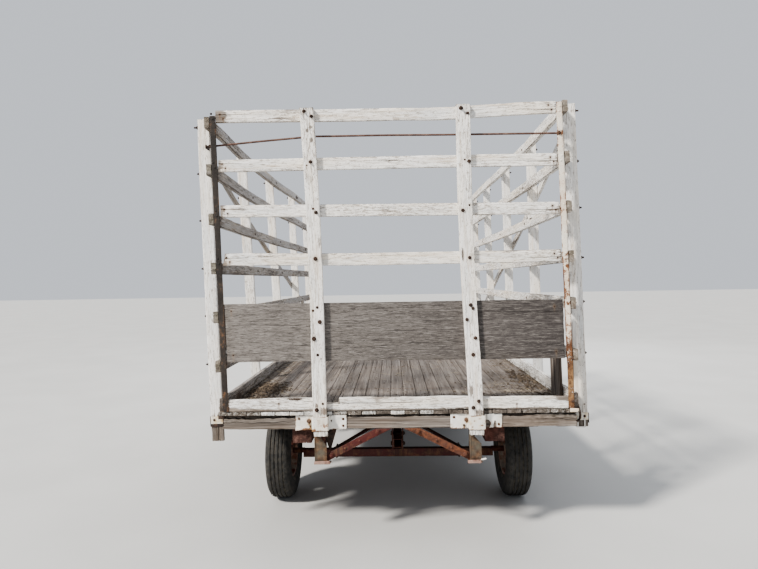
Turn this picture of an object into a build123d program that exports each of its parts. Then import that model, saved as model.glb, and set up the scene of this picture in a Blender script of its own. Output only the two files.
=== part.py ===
from build123d import *
import os
from math import sin, cos, tan, radians, degrees, asin, atan, hypot

os.makedirs("parts", exist_ok=True)

# Hay wagon: an open-front bale rack on a four-wheel running gear.
# Millimetres. +X is the wagon's right, +Y its front, +Z up, ground at z = 0,
# origin on the ground under the middle of the whole wagon, tongue included.

# ---------------------------------------------------------------- driving sizes
rear_y = -3209.0            # rear end of the floor
floor_len = 4880.0          # 16 ft bed
floor_half = 1220.0         # half of the 8 ft floor
floor_top = 915.0           # top of the floor boards
floor_t = 28.0
front_y = rear_y + floor_len
lean = 1.65                 # the rack has racked over to the left, degrees

board_count = 25            # floor boards across the bed
board_gap = 3.0

joist_h = 100.0
joist_t = 50.0
joist_half = 1270.0
joist_top = floor_top - floor_t
joist_bot = joist_top - joist_h
sill_in, sill_out = 590.0, 725.0
sill_top = joist_bot
sill_h = 104.0

post_first = 123.0          # rear face of the rear post, ahead of the floor end
post_pitch = 1170.0
post_count = 5
post_in, post_w, post_t = 1222.0, 86.0, 38.0
post_foot = -232.0          # lower end, relative to the floor top
post_stub = -156.0          # the right rear post has been cut shorter
rail_t, rail_h = 36.0, 80.0

wheelbase = 2950.0
rear_axle_y = rear_y + 965.0
front_axle_y = rear_axle_y + wheelbase
track_half = 950.0
tyre_r = 372.0
tyre_half_w = 101.5
axle_z = tyre_r
beam_z0, beam_z1 = 320.0, 384.0     # axle beam, lower and upper face
beam_half_y = 28.0
bolster_z0, bolster_z1 = 583.0, 683.0
bolster_half = 760.0
kingpin_x = 760.0
arm_x, arm_y = 45.0, 130.0          # kingpin to tie-rod pin, and steer pivot to inner pin
steer_pivot_y = front_axle_y + 85.0
tongue_y = steer_pivot_y + 250.0    # tongue's cross pin
tongue_z = 350.0
tongue_len = 2230.0                 # cross pin to the tip of the hitch clevis
clevis_half = 50.0

ts, cs, sn = tan(radians(lean)), cos(radians(lean)), sin(radians(lean))
bore_play = 1.0


def rail_plane(x, y, h):
    """Section plane for a board that runs forward, tipped with the rack."""
    return Plane(origin=(x - h * ts, y, floor_top + h), x_dir=(cs, 0, sn), z_dir=(0, 1, 0))


def end_plane(y):
    """Upright plane across the wagon: local x is X, local y is the height above the floor."""
    return Plane(origin=(0, y, floor_top), x_dir=(1, 0, 0), z_dir=(0, -1, 0))


def side_plane(x):
    """Leaning plane along the wagon: local x is Y, local y is the height, normal points to +X."""
    return Plane(origin=(x, 0, floor_top), x_dir=(0, 1, 0), z_dir=(cs, 0, sn))


# ---------------------------------------------------------------- bed
# columns: board number from the left
pitch = 2 * floor_half / board_count
with BuildPart() as floor_boards:
    for i in range(board_count):
        x0 = -floor_half + i * pitch
        with BuildSketch(Plane.XY.offset(floor_top - floor_t)):
            with Locations((x0 + pitch / 2, (rear_y + front_y) / 2)):
                Rectangle(pitch - board_gap, floor_len)
        extrude(amount=floor_t)

post_ys = [rear_y + post_first + i * post_pitch for i in range(post_count)]
# a joist against the front face of each post, and one midway in each bay
joist_ys = [y + post_t + joist_t / 2 for y in post_ys[:-1]]
joist_ys += [y + post_t + joist_t / 2 + post_pitch / 2 for y in post_ys[:-1]]
joist_ys.append(post_ys[-1] - joist_t / 2)
with BuildPart() as cross_joists:
    for y in joist_ys:
        with BuildSketch(Plane.XY.offset(joist_bot)):
            with Locations((0, y)):
                Rectangle(2 * joist_half, joist_t)
        extrude(amount=joist_h)

with BuildPart() as rear_end_beam:
    with BuildSketch(Plane.XY.offset(joist_bot)):
        with Locations((5, rear_y + 22 + 25)):
            Rectangle(2 * 1200, 50)
    extrude(amount=joist_h)

with BuildPart() as front_end_beam:
    with BuildSketch(Plane.XY.offset(joist_bot)):
        with Locations((0, front_y - 25 - 8)):
            Rectangle(2 * 1214, 50)
    extrude(amount=joist_h)

with BuildPart() as main_sills:
    for s in (-1, 1):
        with BuildSketch(Plane.XY.offset(sill_top - sill_h)):
            with Locations((s * (sill_in + sill_out) / 2, (rear_y + front_y) / 2)):
                Rectangle(sill_out - sill_in, floor_len - 2 * 60)
        extrude(amount=sill_h)


# ---------------------------------------------------------------- side racks
def side_posts(s):
    with BuildPart() as posts:
        for y in post_ys:
            top = 2072.0 if s > 0 else 2021.0
            foot = post_stub if s > 0 and y == post_ys[0] else post_foot
            with BuildSketch(side_plane(s * post_in)):
                with BuildLine():
                    Polyline((y, foot), (y + post_t, foot), (y + post_t, top), (y, top), close=True)
                make_face()
            extrude(amount=s * post_w)
    return posts


side_posts_left = side_posts(-1)
side_posts_right = side_posts(1)

# columns: height of the rail's middle above the floor, left side and right side
RAILS = ((308, 358), (642, 704), (975, 1018), (1308, 1352), (1641, 1681), (1960, 2020))


def side_rails(s):
    with BuildPart() as rails:
        for left_h, right_h in RAILS:
            h = right_h if s > 0 else left_h
            with BuildSketch(rail_plane(s * (post_in - 0.3 - rail_t / 2), rear_y, h)):
                Rectangle(rail_t, rail_h)
            extrude(amount=floor_len - 20)
    return rails


side_rails_left = side_rails(-1)
side_rails_right = side_rails(1)

# columns: side, height of the toe board
TOES = ((-1, 86.0), (1, 98.0))


def toe_board(s, hgt):
    with BuildPart() as toe:
        with BuildSketch(Plane(origin=(s * (floor_half - 1 - rail_t / 2), rear_y + 40, floor_top), z_dir=(0, 0, 1))):
            with Locations((0, (floor_len - 60) / 2)):
                Rectangle(rail_t, floor_len - 60)
        extrude(amount=hgt)
    return toe


toe_board_left = toe_board(*TOES[0])
toe_board_right = toe_board(*TOES[1])

# columns: side, height of the brace's middle at its rear end, at its front end
BRACES = ((-1, 1861.0, 459.0), (1, 2028.0, 384.0))


def side_brace(s, h0, h1):
    # the rear end stops just ahead of the rear post, hidden by it from behind
    y0, y1 = post_ys[0] + post_t + 42, post_ys[-1] + post_t + 20
    w = 80.0
    with BuildPart() as brace:
        with BuildSketch(side_plane(s * (post_in + post_w + 0.5))):
            with BuildLine():
                Polyline((y0, h0 - w / 2), (y1, h1 - w / 2), (y1, h1 + w / 2), (y0, h0 + w / 2), close=True)
            make_face()
        extrude(amount=s * 24)
    return brace


side_brace_left = side_brace(*BRACES[0])
side_brace_right = side_brace(*BRACES[1])

# steel clip plates that hold the posts at the joists
with BuildPart() as post_clips:
    for s in (-1, 1):
        # rear face of each post, but the front face of the last one
        for y in post_ys[:-1] + [post_ys[-1] + post_t + 5]:
            with BuildSketch(side_plane(s * (post_in + 2))):
                with BuildLine():
                    Polyline((y - 5, -100), (y, -100), (y, -50), (y - 5, -50), close=True)
                make_face()
            extrude(amount=s * (post_w - 4))

# a short plank nailed inside the right rack near the rear corner
with BuildPart() as side_patch_plank:
    with BuildSketch(side_plane(post_in - rail_t - 25.5)):
        with BuildLine():
            Polyline((rear_y + 262, 6), (rear_y + 500, 6), (rear_y + 500, 620), (rear_y + 262, 620), close=True)
        make_face()
    extrude(amount=22)

# ---------------------------------------------------------------- rear end rack
upright_x = 524.0
upright_w = 94.0
upright_top, upright_foot = 2036.0, -164.0


def leaning(xc, w, h0, h1):
    """Corners of a bar that leans with the rack, from height h0 to h1."""
    return (
        (xc - w / 2 - h0 * ts, h0), (xc + w / 2 - h0 * ts, h0),
        (xc + w / 2 - h1 * ts, h1), (xc - w / 2 - h1 * ts, h1))


with BuildPart() as end_uprights:
    for s in (-1, 1):
        with BuildSketch(end_plane(rear_y)):
            with BuildLine():
                Polyline(*leaning(s * upright_x, upright_w, upright_foot, upright_top), close=True)
            make_face()
        extrude(amount=38)

# columns: height of the end rail's middle, half length in the rack
END_RAILS = ((1024.0, 1140.0), (1346.0, 1140.0), (1671.0, 1140.0), (1998.0, 1145.0))
with BuildPart() as end_rails:
    for h, half in END_RAILS:
        with BuildSketch(end_plane(rear_y + 25)):
            with Locations((-h * ts, h)):
                Rectangle(2 * half, 80)
        extrude(amount=24.5)

with BuildPart() as end_panel:
    with BuildSketch(end_plane(rear_y + 15.5)):
        with BuildLine():
            Polyline(*leaning(-5, 2 * 1140, 333, 723), close=True)
        make_face()
    extrude(amount=15)

with BuildPart() as end_bottom_rail:
    with BuildSketch(end_plane(rear_y + 38.5)):
        with Locations((-2, 46)):
            Rectangle(2 * 1150, 90)
    extrude(amount=38)

# corner stiles of steel angle
def end_stile(s):
    leg, t = 40.0, 5.0
    x0 = s * 1183.0
    top = 2043.0 if s > 0 else 2001.0
    with BuildPart() as stile:
        with BuildSketch(end_plane(rear_y + 40)):
            with BuildLine():
                Polyline(*leaning(x0 - s * t / 2, t, 2, top), close=True)
            make_face()
        extrude(amount=leg)
        with BuildSketch(end_plane(rear_y)):
            with BuildLine():
                Polyline(*leaning(x0 - s * leg / 2, leg, -10, top), close=True)
            make_face()
        extrude(amount=t)
    return stile


end_stile_left = end_stile(-1)
end_stile_right = end_stile(1)

# bent steel straps that hold the feet of the uprights to the end beam
with BuildPart() as upright_pockets:
    for s in (-1, 1):
        xc = s * upright_x + 4
        yb = rear_y + 22
        inner, t = upright_w / 2 + 4, 5.0
        depth = 22 + 38 + 1
        with BuildSketch(Plane.XY.offset(joist_bot + 2)):
            with BuildLine():
                Polyline(
                    (xc - 172, yb), (xc - inner, yb), (xc - inner, yb - depth), (xc + inner, yb - depth),
                    (xc + inner, yb), (xc + 172, yb), (xc + 172, yb - t), (xc + inner + t, yb - t),
                    (xc + inner + t, yb - depth - t), (xc - inner - t, yb - depth - t),
                    (xc - inner - t, yb - t), (xc - 172, yb - t), close=True)
            make_face()
        extrude(amount=94)

# hanging angles under the uprights, the right one cut narrower at the top
gusset_bot = 563.0
# columns: across from the strap's middle, height above the angle's foot
GUSSET_EDGE = {-1: ((38, 0), (39, 60), (37, 114), (-2, 176), (-6, 224)), 1: ((31, 0), (32, 60), (30, 121), (-22, 180), (-26, 224))}
GUSSET_FOOT = {-1: (-50, 64), 1: (-64, 33)}
with BuildPart() as pocket_gussets:
    for s in (-1, 1):
        xc = s * upright_x + 4
        h_top, h_bot = joist_bot - floor_top, gusset_bot - floor_top
        with BuildSketch(end_plane(rear_y + 6.5)):
            with BuildLine():
                Polyline((xc - 45, h_bot), *[(xc + a, h_bot + h) for a, h in GUSSET_EDGE[s]], (xc - 45, h_top), close=True)
            make_face()
        extrude(amount=6)
        with BuildSketch(Plane(origin=(xc - 45, 0, floor_top), x_dir=(0, 1, 0), z_dir=(1, 0, 0))):
            with BuildLine():
                Polyline((rear_y + 6, h_bot), (rear_y + 50, h_bot), (rear_y + 70, h_top), (rear_y + 6, h_top), close=True)
            make_face()
        extrude(amount=6)
        foot_a, foot_b = GUSSET_FOOT[s]
        with BuildSketch(Plane.XY.offset(gusset_bot)):
            with Locations((xc + (foot_a + foot_b) / 2, rear_y + 23)):
                Rectangle(foot_b - foot_a, 64)
        extrude(amount=-6)
    # a web behind the left angle, hung from the beam to a blunt point
    with BuildSketch(end_plane(rear_y + 60)):
        with BuildLine():
            Polyline((-516, h_top), (-470, 634 - floor_top), (-462, 634 - floor_top), (-416, h_top), close=True)
        make_face()
    extrude(amount=6)

# flat braces from the angles up to the underside of the end beam, near its middle
brace_half, brace_slope = 26.8, 0.497       # half height of the bar measured upright, rise of the bar


def brace_h(a):
    return 592.0 - floor_top + (488.0 - a) * brace_slope


def brace_a(h):
    return 488.0 - (h - 592.0 + floor_top) / brace_slope


with BuildPart() as pocket_braces:
    h_top, h_bot = joist_bot - floor_top, gusset_bot - floor_top
    low_a, high_a = brace_a(h_top + brace_half), brace_a(h_top - brace_half)
    for s in (-1, 1):
        # the outer end stands on the angle's foot and against its forward leg
        end = abs(s * upright_x + 4 - 45 + (6 if s < 0 else 0))
        if s < 0:
            outer = [(end, h_bot), (end, brace_h(end) + brace_half)]
            inner = [(brace_a(h_bot + brace_half), h_bot)]
        else:
            outer = [(end, brace_h(end) - brace_half), (end, brace_h(end) + brace_half)]
            inner = []
        with BuildSketch(end_plane(rear_y + 29)):
            with BuildLine():
                Polyline(*[(s * a, h) for a, h in outer + [(high_a, h_top), (low_a, h_top)] + inner], close=True)
            make_face()
        extrude(amount=6)

# long tie rod across the top of the end rack, bent up a little, with its end plates
# columns: x before the lean, height above the floor
ROD = ((-1255.0, 1806.0), (-496.0, 1866.0), (1180.0, 1851.0))
rod_y, rod_r = rear_y + 62, 7.0
rod_pts = [(x - h * ts, rod_y, floor_top + h) for x, h in ROD]
with BuildPart() as cross_tie_rod:
    for a, b in zip(rod_pts, rod_pts[1:]):
        run = Vector(*b) - Vector(*a)
        with BuildSketch(Plane(origin=a, z_dir=tuple(run))):
            Circle(rod_r)
        extrude(amount=run.length)
    with Locations(rod_pts[1]):
        Sphere(rod_r)
    # end plate to the left post, end plate to the right stile
    xa, xb = rod_pts[0][0], rod_pts[-1][0]
    # columns: x from, x to, y from, y to, height of the middle
    for x0, x1, y0, y1, z in (
            (xa - 6, xa + 6, rod_y - 12, rear_y + post_first, rod_pts[0][2]),
            (xb - 8, xb + 1, rear_y + 40.5, rod_y + 12, rod_pts[-1][2])):
        with BuildSketch(Plane.XY.offset(z - 15)):
            with Locations(((x0 + x1) / 2, (y0 + y1) / 2)):
                Rectangle(x1 - x0, y1 - y0)
        extrude(amount=30)


# ---------------------------------------------------------------- running gear
def bolster(yc):
    """Channel bolster with its legs down to the axle and the clamps for the reach pole."""
    with BuildPart() as piece:
        # channel, open to the rear
        with BuildSketch(Plane(origin=(-bolster_half, yc, bolster_z0), x_dir=(0, 1, 0), z_dir=(1, 0, 0))):
            with BuildLine():
                Polyline((-50, 0), (50, 0), (50, 100), (-50, 100), (-50, 91), (41, 91), (41, 9), (-50, 9), close=True)
            make_face()
        extrude(amount=2 * bolster_half)
        # columns: inner and outer x of a leg
        for x0, x1 in ((-640, -600), (-47, -37), (37, 47), (600, 640)):
            with BuildSketch(Plane.XY.offset(beam_z1)):
                with Locations(((x0 + x1) / 2, yc)):
                    Rectangle(x1 - x0, 2 * 40)
            extrude(amount=bolster_z0 - beam_z1)
    return piece


rear_bolster = bolster(rear_axle_y)
front_bolster = bolster(front_axle_y)

with BuildPart() as rear_axle:
    with BuildSketch(Plane.XY.offset(beam_z0)):
        with Locations((0, rear_axle_y)):
            Rectangle(2 * 790, 2 * beam_half_y)
    extrude(amount=beam_z1 - beam_z0)
    for s in (-1, 1):
        with BuildSketch(Plane(origin=(s * 780, rear_axle_y, axle_z), z_dir=(s, 0, 0))):
            Circle(22)
        extrude(amount=210)

with BuildPart() as front_axle:
    with BuildSketch(Plane.XY.offset(beam_z0)):
        with Locations((0, front_axle_y)):
            Rectangle(2 * (kingpin_x - 10), 2 * beam_half_y)
        with Locations((-kingpin_x, front_axle_y), (kingpin_x, front_axle_y)):
            Circle(32)
        with Locations((-kingpin_x, front_axle_y), (kingpin_x, front_axle_y)):
            Circle(16 + bore_play, mode=Mode.SUBTRACT)
    extrude(amount=beam_z1 - beam_z0)
    # ears and pin of the steer pivot
    for z0, z1 in ((320.0, 336.0), (364.0, 380.0)):
        with BuildSketch(Plane.XY.offset(z0)):
            with Locations((0, (front_axle_y + 20 + steer_pivot_y) / 2)):
                Rectangle(70, steer_pivot_y - front_axle_y - 20)
            with Locations((0, steer_pivot_y)):
                Circle(35)
        extrude(amount=z1 - z0)
    with BuildSketch(Plane.XY.offset(314.0)):
        with Locations((0, steer_pivot_y)):
            Circle(15)
    extrude(amount=72)

with BuildPart() as reach_pole:
    with BuildSketch(Plane(origin=(0, rear_axle_y - 160, 465), x_dir=(1, 0, 0), z_dir=(0, 1, 0))):
        Rectangle(70, 70)
        Rectangle(58, 58, mode=Mode.SUBTRACT)
    extrude(amount=wheelbase + 160 + 70)

# columns: end at the axle x, y, z; end at the reach pole x, y, z
HOUNDS = (
    (-560, rear_axle_y + 48, 352, -52, rear_axle_y + 900, 448),
    (560, rear_axle_y + 48, 352, 52, rear_axle_y + 900, 448),
    (-560, front_axle_y - 48, 352, -52, front_axle_y - 760, 448),
    (560, front_axle_y - 48, 352, 52, front_axle_y - 760, 448),
)
with BuildPart() as reach_braces:
    for ax, ay, az, bx, by, bz in HOUNDS:
        d = Vector(bx - ax, by - ay, bz - az)
        with BuildSketch(Plane(origin=(ax, ay, az), z_dir=tuple(d))):
            Circle(15)
        extrude(amount=d.length)

with BuildPart() as bolster_stakes:
    for s in (-1, 1):
        for yc in (rear_axle_y, front_axle_y):
            with BuildSketch(Plane.XY.offset(bolster_z1)):
                with Locations((s * (sill_out + 8), yc)):
                    Rectangle(12, 70)
            extrude(amount=96)


# ---------------------------------------------------------------- steering
def knuckle(s):
    with BuildPart() as piece:
        for z0 in (298.0, 390.0):
            with BuildSketch(Plane.XY.offset(z0)):
                with Locations((s * kingpin_x, front_axle_y)):
                    Circle(34)
                with Locations((s * (kingpin_x + 28), front_axle_y)):
                    Rectangle(56, 68)
            extrude(amount=16)
        with BuildSketch(Plane.XY.offset(298.0)):
            with Locations((s * (kingpin_x + 47), front_axle_y)):
                Rectangle(18, 68)
        extrude(amount=108)
        with BuildSketch(Plane.XY.offset(298.0)):
            with Locations((s * kingpin_x, front_axle_y)):
                Circle(16)
        extrude(amount=108)
        # steering arm and its pin
        arm = Plane(origin=(s * (kingpin_x + arm_x / 2), front_axle_y + arm_y / 2, 298), x_dir=(s * arm_x, arm_y, 0), z_dir=(0, 0, 1))
        with BuildSketch(arm):
            SlotCenterToCenter(hypot(arm_x, arm_y), 38)
        extrude(amount=16)
        with BuildSketch(Plane.XY.offset(298.0)):
            with Locations((s * (kingpin_x + arm_x), front_axle_y + arm_y)):
                Circle(9)
        extrude(amount=50)
        # spindle
        with BuildSketch(Plane(origin=(s * (kingpin_x + 50), front_axle_y, axle_z), z_dir=(s, 0, 0))):
            Circle(22)
        extrude(amount=track_half + 40 - kingpin_x - 50)
    return piece


knuckle_left = knuckle(-1)
knuckle_right = knuckle(1)


def tie_rod(s):
    inner = Vector(s * arm_x, steer_pivot_y + arm_y, 320)
    outer = Vector(s * (kingpin_x + arm_x), front_axle_y + arm_y, 320)
    mid = (inner + outer) * 0.5
    with BuildPart() as piece:
        with BuildSketch(Plane(origin=tuple(mid), x_dir=tuple(outer - inner), z_dir=(0, 0, 1))):
            half = (outer - inner).length / 2
            Rectangle(2 * half, 24)
            with Locations((-half, 0), (half, 0)):
                Circle(20)
            with Locations((-half, 0)):
                Circle(9 + bore_play, mode=Mode.SUBTRACT)
            with Locations((half, 0)):
                Circle(9 + 2 * bore_play, mode=Mode.SUBTRACT)
        extrude(amount=16)
    return piece


tie_rod_left = tie_rod(-1)
tie_rod_right = tie_rod(1)

with BuildPart() as steer_plate:
    with BuildSketch(Plane.XY.offset(342.0)):
        with BuildLine():
            Polyline(
                (-40, steer_pivot_y), (-72, steer_pivot_y + 120), (-60, steer_pivot_y + 200), (-60, tongue_y),
                (60, tongue_y), (60, steer_pivot_y + 200), (72, steer_pivot_y + 120), (40, steer_pivot_y), close=True)
        make_face()
        with Locations((0, steer_pivot_y)):
            Circle(40)
        with Locations((0, steer_pivot_y)):
            Circle(15 + bore_play, mode=Mode.SUBTRACT)
    extrude(amount=16)
    with BuildSketch(Plane.XY.offset(314.0)):
        with Locations((-arm_x, steer_pivot_y + arm_y), (arm_x, steer_pivot_y + arm_y)):
            Circle(9)
    extrude(amount=44)
    # sleeve for the tongue's cross pin
    with BuildSketch(Plane(origin=(-60, tongue_y, tongue_z), z_dir=(1, 0, 0))):
        Circle(22)
    extrude(amount=120)
    with BuildSketch(Plane(origin=(-60, tongue_y, tongue_z), z_dir=(1, 0, 0))):
        Circle(12 + bore_play)
    extrude(amount=120, mode=Mode.SUBTRACT)

# ---------------------------------------------------------------- tongue
reach = hypot(tongue_len, clevis_half)
tongue_dip = degrees(asin(tongue_z / reach)) - degrees(atan(clevis_half / tongue_len))
dip_c, dip_s = cos(radians(tongue_dip)), sin(radians(tongue_dip))
along = Vector(0, dip_c, -dip_s)
above = Vector(0, dip_s, dip_c)
hinge = Vector(0, tongue_y, tongue_z)


def tongue_section(s):
    """Plane across the tongue, s along it from the cross pin; local x is X, local y is down."""
    return Plane(origin=tuple(hinge + along * s), x_dir=(1, 0, 0), z_dir=tuple(along))


def tongue_flat(w):
    """Plane along the tongue at height w above its middle; local x is X, local y runs forward."""
    return Plane(origin=tuple(hinge + above * w), x_dir=(1, 0, 0), z_dir=tuple(above))


with BuildPart() as tongue_pole:
    with BuildSketch(tongue_section(150)):
        Rectangle(76, 76)
        Rectangle(64, 64, mode=Mode.SUBTRACT)
    extrude(amount=1950)
    # cheeks that straddle the sleeve, and the cross plates that join them to the pole
    for s in (-1, 1):
        with BuildSketch(Plane(origin=(s * 66, tongue_y, tongue_z), x_dir=tuple(along), z_dir=(1, 0, 0))):
            with Locations((150, 0)):
                Rectangle(360, 60)
        extrude(amount=s * 12)
    # columns: start along the tongue of a cross plate
    for s0 in (190.0, 312.0):
        for sx in (-1, 1):
            with BuildSketch(tongue_section(s0)):
                with Locations((sx * 55, 0)):
                    Rectangle(38, 60)
            extrude(amount=14)
    with BuildSketch(Plane(origin=(-86, tongue_y, tongue_z), z_dir=(1, 0, 0))):
        Circle(12)
    extrude(amount=172)

with BuildPart() as tongue_hitch:
    for w0, up in ((38.2, 1), (-38.2, -1)):
        with BuildSketch(tongue_flat(w0)):
            with Locations((0, tongue_len - 120)):
                Rectangle(76, 240)
            with Locations((0, tongue_len - 42)):
                Circle(14.5, mode=Mode.SUBTRACT)
        extrude(amount=up * (clevis_half - 38.2))


# ---------------------------------------------------------------- wheels
# columns: name, side, axle y
WHEELS = (("rl", -1, rear_axle_y), ("rr", 1, rear_axle_y), ("fl", -1, front_axle_y), ("fr", 1, front_axle_y))
# tyre half section: axial, radius; outside from the bead up to the tread
TYRE_OUT = ((69.5, 196), (69.5, 207), (88, 224), (98, 252), (tyre_half_w, 285), (98, 318), (90, 346), (78, 362), (60, 370), (30, tyre_r))
TYRE_IN = ((30, 350), (62, 347), (78, 330), (86, 285), (80, 245), (54, 210), (48, 196))
# rim half section: flange, bead seat and drop centre
RIM_OUT = ((76, 205), (70, 205), (70, 195.5), (36, 195.5), (30, 172))
RIM_IN = ((34, 167), (41, 190.5), (75, 190.5), (76, 191))
tyres, rims = {}, {}
for name, s, yw in WHEELS:
    wp = Plane(origin=(s * track_half, yw, axle_z), x_dir=(s, 0, 0), z_dir=(0, 0, 1))
    spin = Axis((s * track_half, yw, axle_z), (1, 0, 0))
    with BuildPart() as tyre:
        with BuildSketch(wp):
            with BuildLine():
                pts = list(TYRE_OUT) + [(-a, r) for a, r in reversed(TYRE_OUT)]
                pts += [(-a, r) for a, r in reversed(TYRE_IN)] + list(TYRE_IN)
                Polyline(*[(a, s * r) for a, r in pts], close=True)
            make_face()
        revolve(axis=spin, revolution_arc=360)
    tyres[name] = tyre
    with BuildPart() as rim:
        with BuildSketch(wp):
            with BuildLine():
                pts = list(RIM_OUT) + [(-a, r) for a, r in reversed(RIM_OUT)]
                pts += [(-a, r) for a, r in reversed(RIM_IN)] + list(RIM_IN)
                Polyline(*[(a, s * r) for a, r in pts], close=True)
            make_face()
        revolve(axis=spin, revolution_arc=360)
        # dished disc from the drop centre to the hub, hub barrel and cap
        with BuildSketch(wp):
            with BuildLine():
                Polyline(*[(a, s * r) for a, r in (
                    (-4, 170), (6, 170), (30, 120), (30, 62), (62, 55), (62, 40), (88, 36), (88, 0), (46, 0), (46, 23.5),
                    (-70, 23.5), (-70, 40), (-22, 52), (18, 58), (20, 118))], close=True)
            make_face()
        revolve(axis=spin, revolution_arc=360)
    rims[name] = rim

# ---------------------------------------------------------------- labels and files
PIECES = {
    "floor_boards": floor_boards, "cross_joists": cross_joists, "main_sills": main_sills,
    "rear_end_beam": rear_end_beam, "front_end_beam": front_end_beam,
    "side_posts_left": side_posts_left, "side_posts_right": side_posts_right,
    "side_rails_left": side_rails_left, "side_rails_right": side_rails_right,
    "toe_board_left": toe_board_left, "toe_board_right": toe_board_right,
    "side_brace_left": side_brace_left, "side_brace_right": side_brace_right,
    "post_clips": post_clips, "side_patch_plank": side_patch_plank,
    "end_uprights": end_uprights, "end_rails": end_rails, "end_panel": end_panel,
    "end_bottom_rail": end_bottom_rail, "end_stile_left": end_stile_left, "end_stile_right": end_stile_right,
    "upright_pockets": upright_pockets, "pocket_gussets": pocket_gussets, "pocket_braces": pocket_braces,
    "cross_tie_rod": cross_tie_rod,
    "rear_axle": rear_axle, "rear_bolster": rear_bolster, "front_axle": front_axle, "front_bolster": front_bolster,
    "reach_pole": reach_pole, "reach_braces": reach_braces, "bolster_stakes": bolster_stakes,
    "knuckle_left": knuckle_left, "knuckle_right": knuckle_right,
    "tie_rod_left": tie_rod_left, "tie_rod_right": tie_rod_right,
    "steer_plate": steer_plate, "tongue_pole": tongue_pole, "tongue_hitch": tongue_hitch,
}
for name in ("rl", "rr", "fl", "fr"):
    PIECES["tyre_" + name] = tyres[name]
    PIECES["rim_" + name] = rims[name]

for label, piece in PIECES.items():
    piece.part.label = label
    export_step(piece.part, "parts/" + label + ".step")

print("tongue dip", round(tongue_dip, 3), "hinge", tongue_y, tongue_z)
print("hitch pin hole", tuple(hinge + along * (tongue_len - 42)), "axis", tuple(above))
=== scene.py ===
import math

import bpy
import bmesh
import numpy as np
from mathutils import Matrix, Vector


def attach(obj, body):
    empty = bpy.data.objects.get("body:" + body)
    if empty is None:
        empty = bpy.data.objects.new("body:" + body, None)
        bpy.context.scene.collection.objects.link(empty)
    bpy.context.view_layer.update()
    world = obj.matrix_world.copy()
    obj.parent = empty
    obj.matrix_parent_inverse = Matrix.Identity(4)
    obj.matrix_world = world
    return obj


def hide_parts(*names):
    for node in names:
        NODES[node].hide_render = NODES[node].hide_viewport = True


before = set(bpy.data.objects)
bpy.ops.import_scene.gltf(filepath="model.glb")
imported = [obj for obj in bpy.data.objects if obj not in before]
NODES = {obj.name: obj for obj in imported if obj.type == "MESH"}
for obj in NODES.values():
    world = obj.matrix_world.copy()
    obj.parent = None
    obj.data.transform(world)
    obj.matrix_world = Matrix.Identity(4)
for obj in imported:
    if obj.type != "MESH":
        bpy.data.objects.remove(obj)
scene = bpy.context.scene
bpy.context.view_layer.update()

# ------------------------------------------------------------------ sizes, metres
# +X is the wagon's right, +Y its front, +Z up. They repeat the CAD's driving sizes.
LEAN = math.radians(1.65)
TS, CS, SN = math.tan(LEAN), math.cos(LEAN), math.sin(LEAN)
REAR = -3.209                   # rear end of the floor
FLOOR = 0.915                   # top of the floor boards
FLOOR_LEN = 4.880
FRONT = REAR + FLOOR_LEN
POST_IN, POST_W, POST_T = 1.222, 0.086, 0.038
POST_Y = [REAR + 0.123 + 1.170 * i for i in range(5)]
POST_FOOT = -0.232
POST_TOP = {-1: 2.021, 1: 2.072}
RAIL_T, RAIL_H = 0.036, 0.080
RAILS = {-1: (0.308, 0.642, 0.975, 1.308, 1.641, 1.960), 1: (0.358, 0.704, 1.018, 1.352, 1.681, 2.020)}
BRACES = {-1: (1.861, 0.459), 1: (2.028, 0.384)}
UP_X, UP_W, UP_FOOT, UP_TOP = 0.524, 0.094, -0.164, 2.036
END_RAILS = ((1.024, 1.140), (1.346, 1.140), (1.671, 1.140), (1.998, 1.145))
JOIST_TOP, JOIST_BOT = FLOOR - 0.028, FLOOR - 0.128


# ------------------------------------------------------------------ noise and small maths
def hash01(i, seed):
    """A repeatable number from 0 to 1 for each whole number."""
    h = (np.asarray(i, np.int64) * 374761393 + int(seed) * 668265263) & 0xFFFFFFFF
    h = ((h ^ (h >> 13)) * 1274126177) & 0xFFFFFFFF
    return ((h ^ (h >> 16)) & 0xFFFFFF) / float(0xFFFFFF)


def noise1(x, seed):
    """Smooth noise from -1 to 1, one bump per unit."""
    x = np.asarray(x, float)
    i = np.floor(x).astype(np.int64)
    f = x - i
    f = f * f * (3 - 2 * f)
    a, b = hash01(i, seed), hash01(i + 1, seed)
    return (a + (b - a) * f) * 2 - 1


def noise2(x, y, seed):
    x, y = np.broadcast_arrays(np.asarray(x, float), np.asarray(y, float))
    i, j = np.floor(x).astype(np.int64), np.floor(y).astype(np.int64)
    f, g = x - i, y - j
    f, g = f * f * (3 - 2 * f), g * g * (3 - 2 * g)
    at = lambda p, q: hash01(p + q * 7919, seed)
    low = at(i, j) + (at(i + 1, j) - at(i, j)) * f
    high = at(i, j + 1) + (at(i + 1, j + 1) - at(i, j + 1)) * f
    return (low + (high - low) * g) * 2 - 1


def fbm1(x, seed, octaves=3):
    return sum(noise1(np.asarray(x, float) * 2 ** k, seed + 31 * k) / 2 ** k for k in range(octaves)) / 1.75


def step01(x):
    x = np.clip(x, 0, 1)
    return x * x * (3 - 2 * x)


def rnd(seed, k=0):
    return float(hash01(k, seed))


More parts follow.
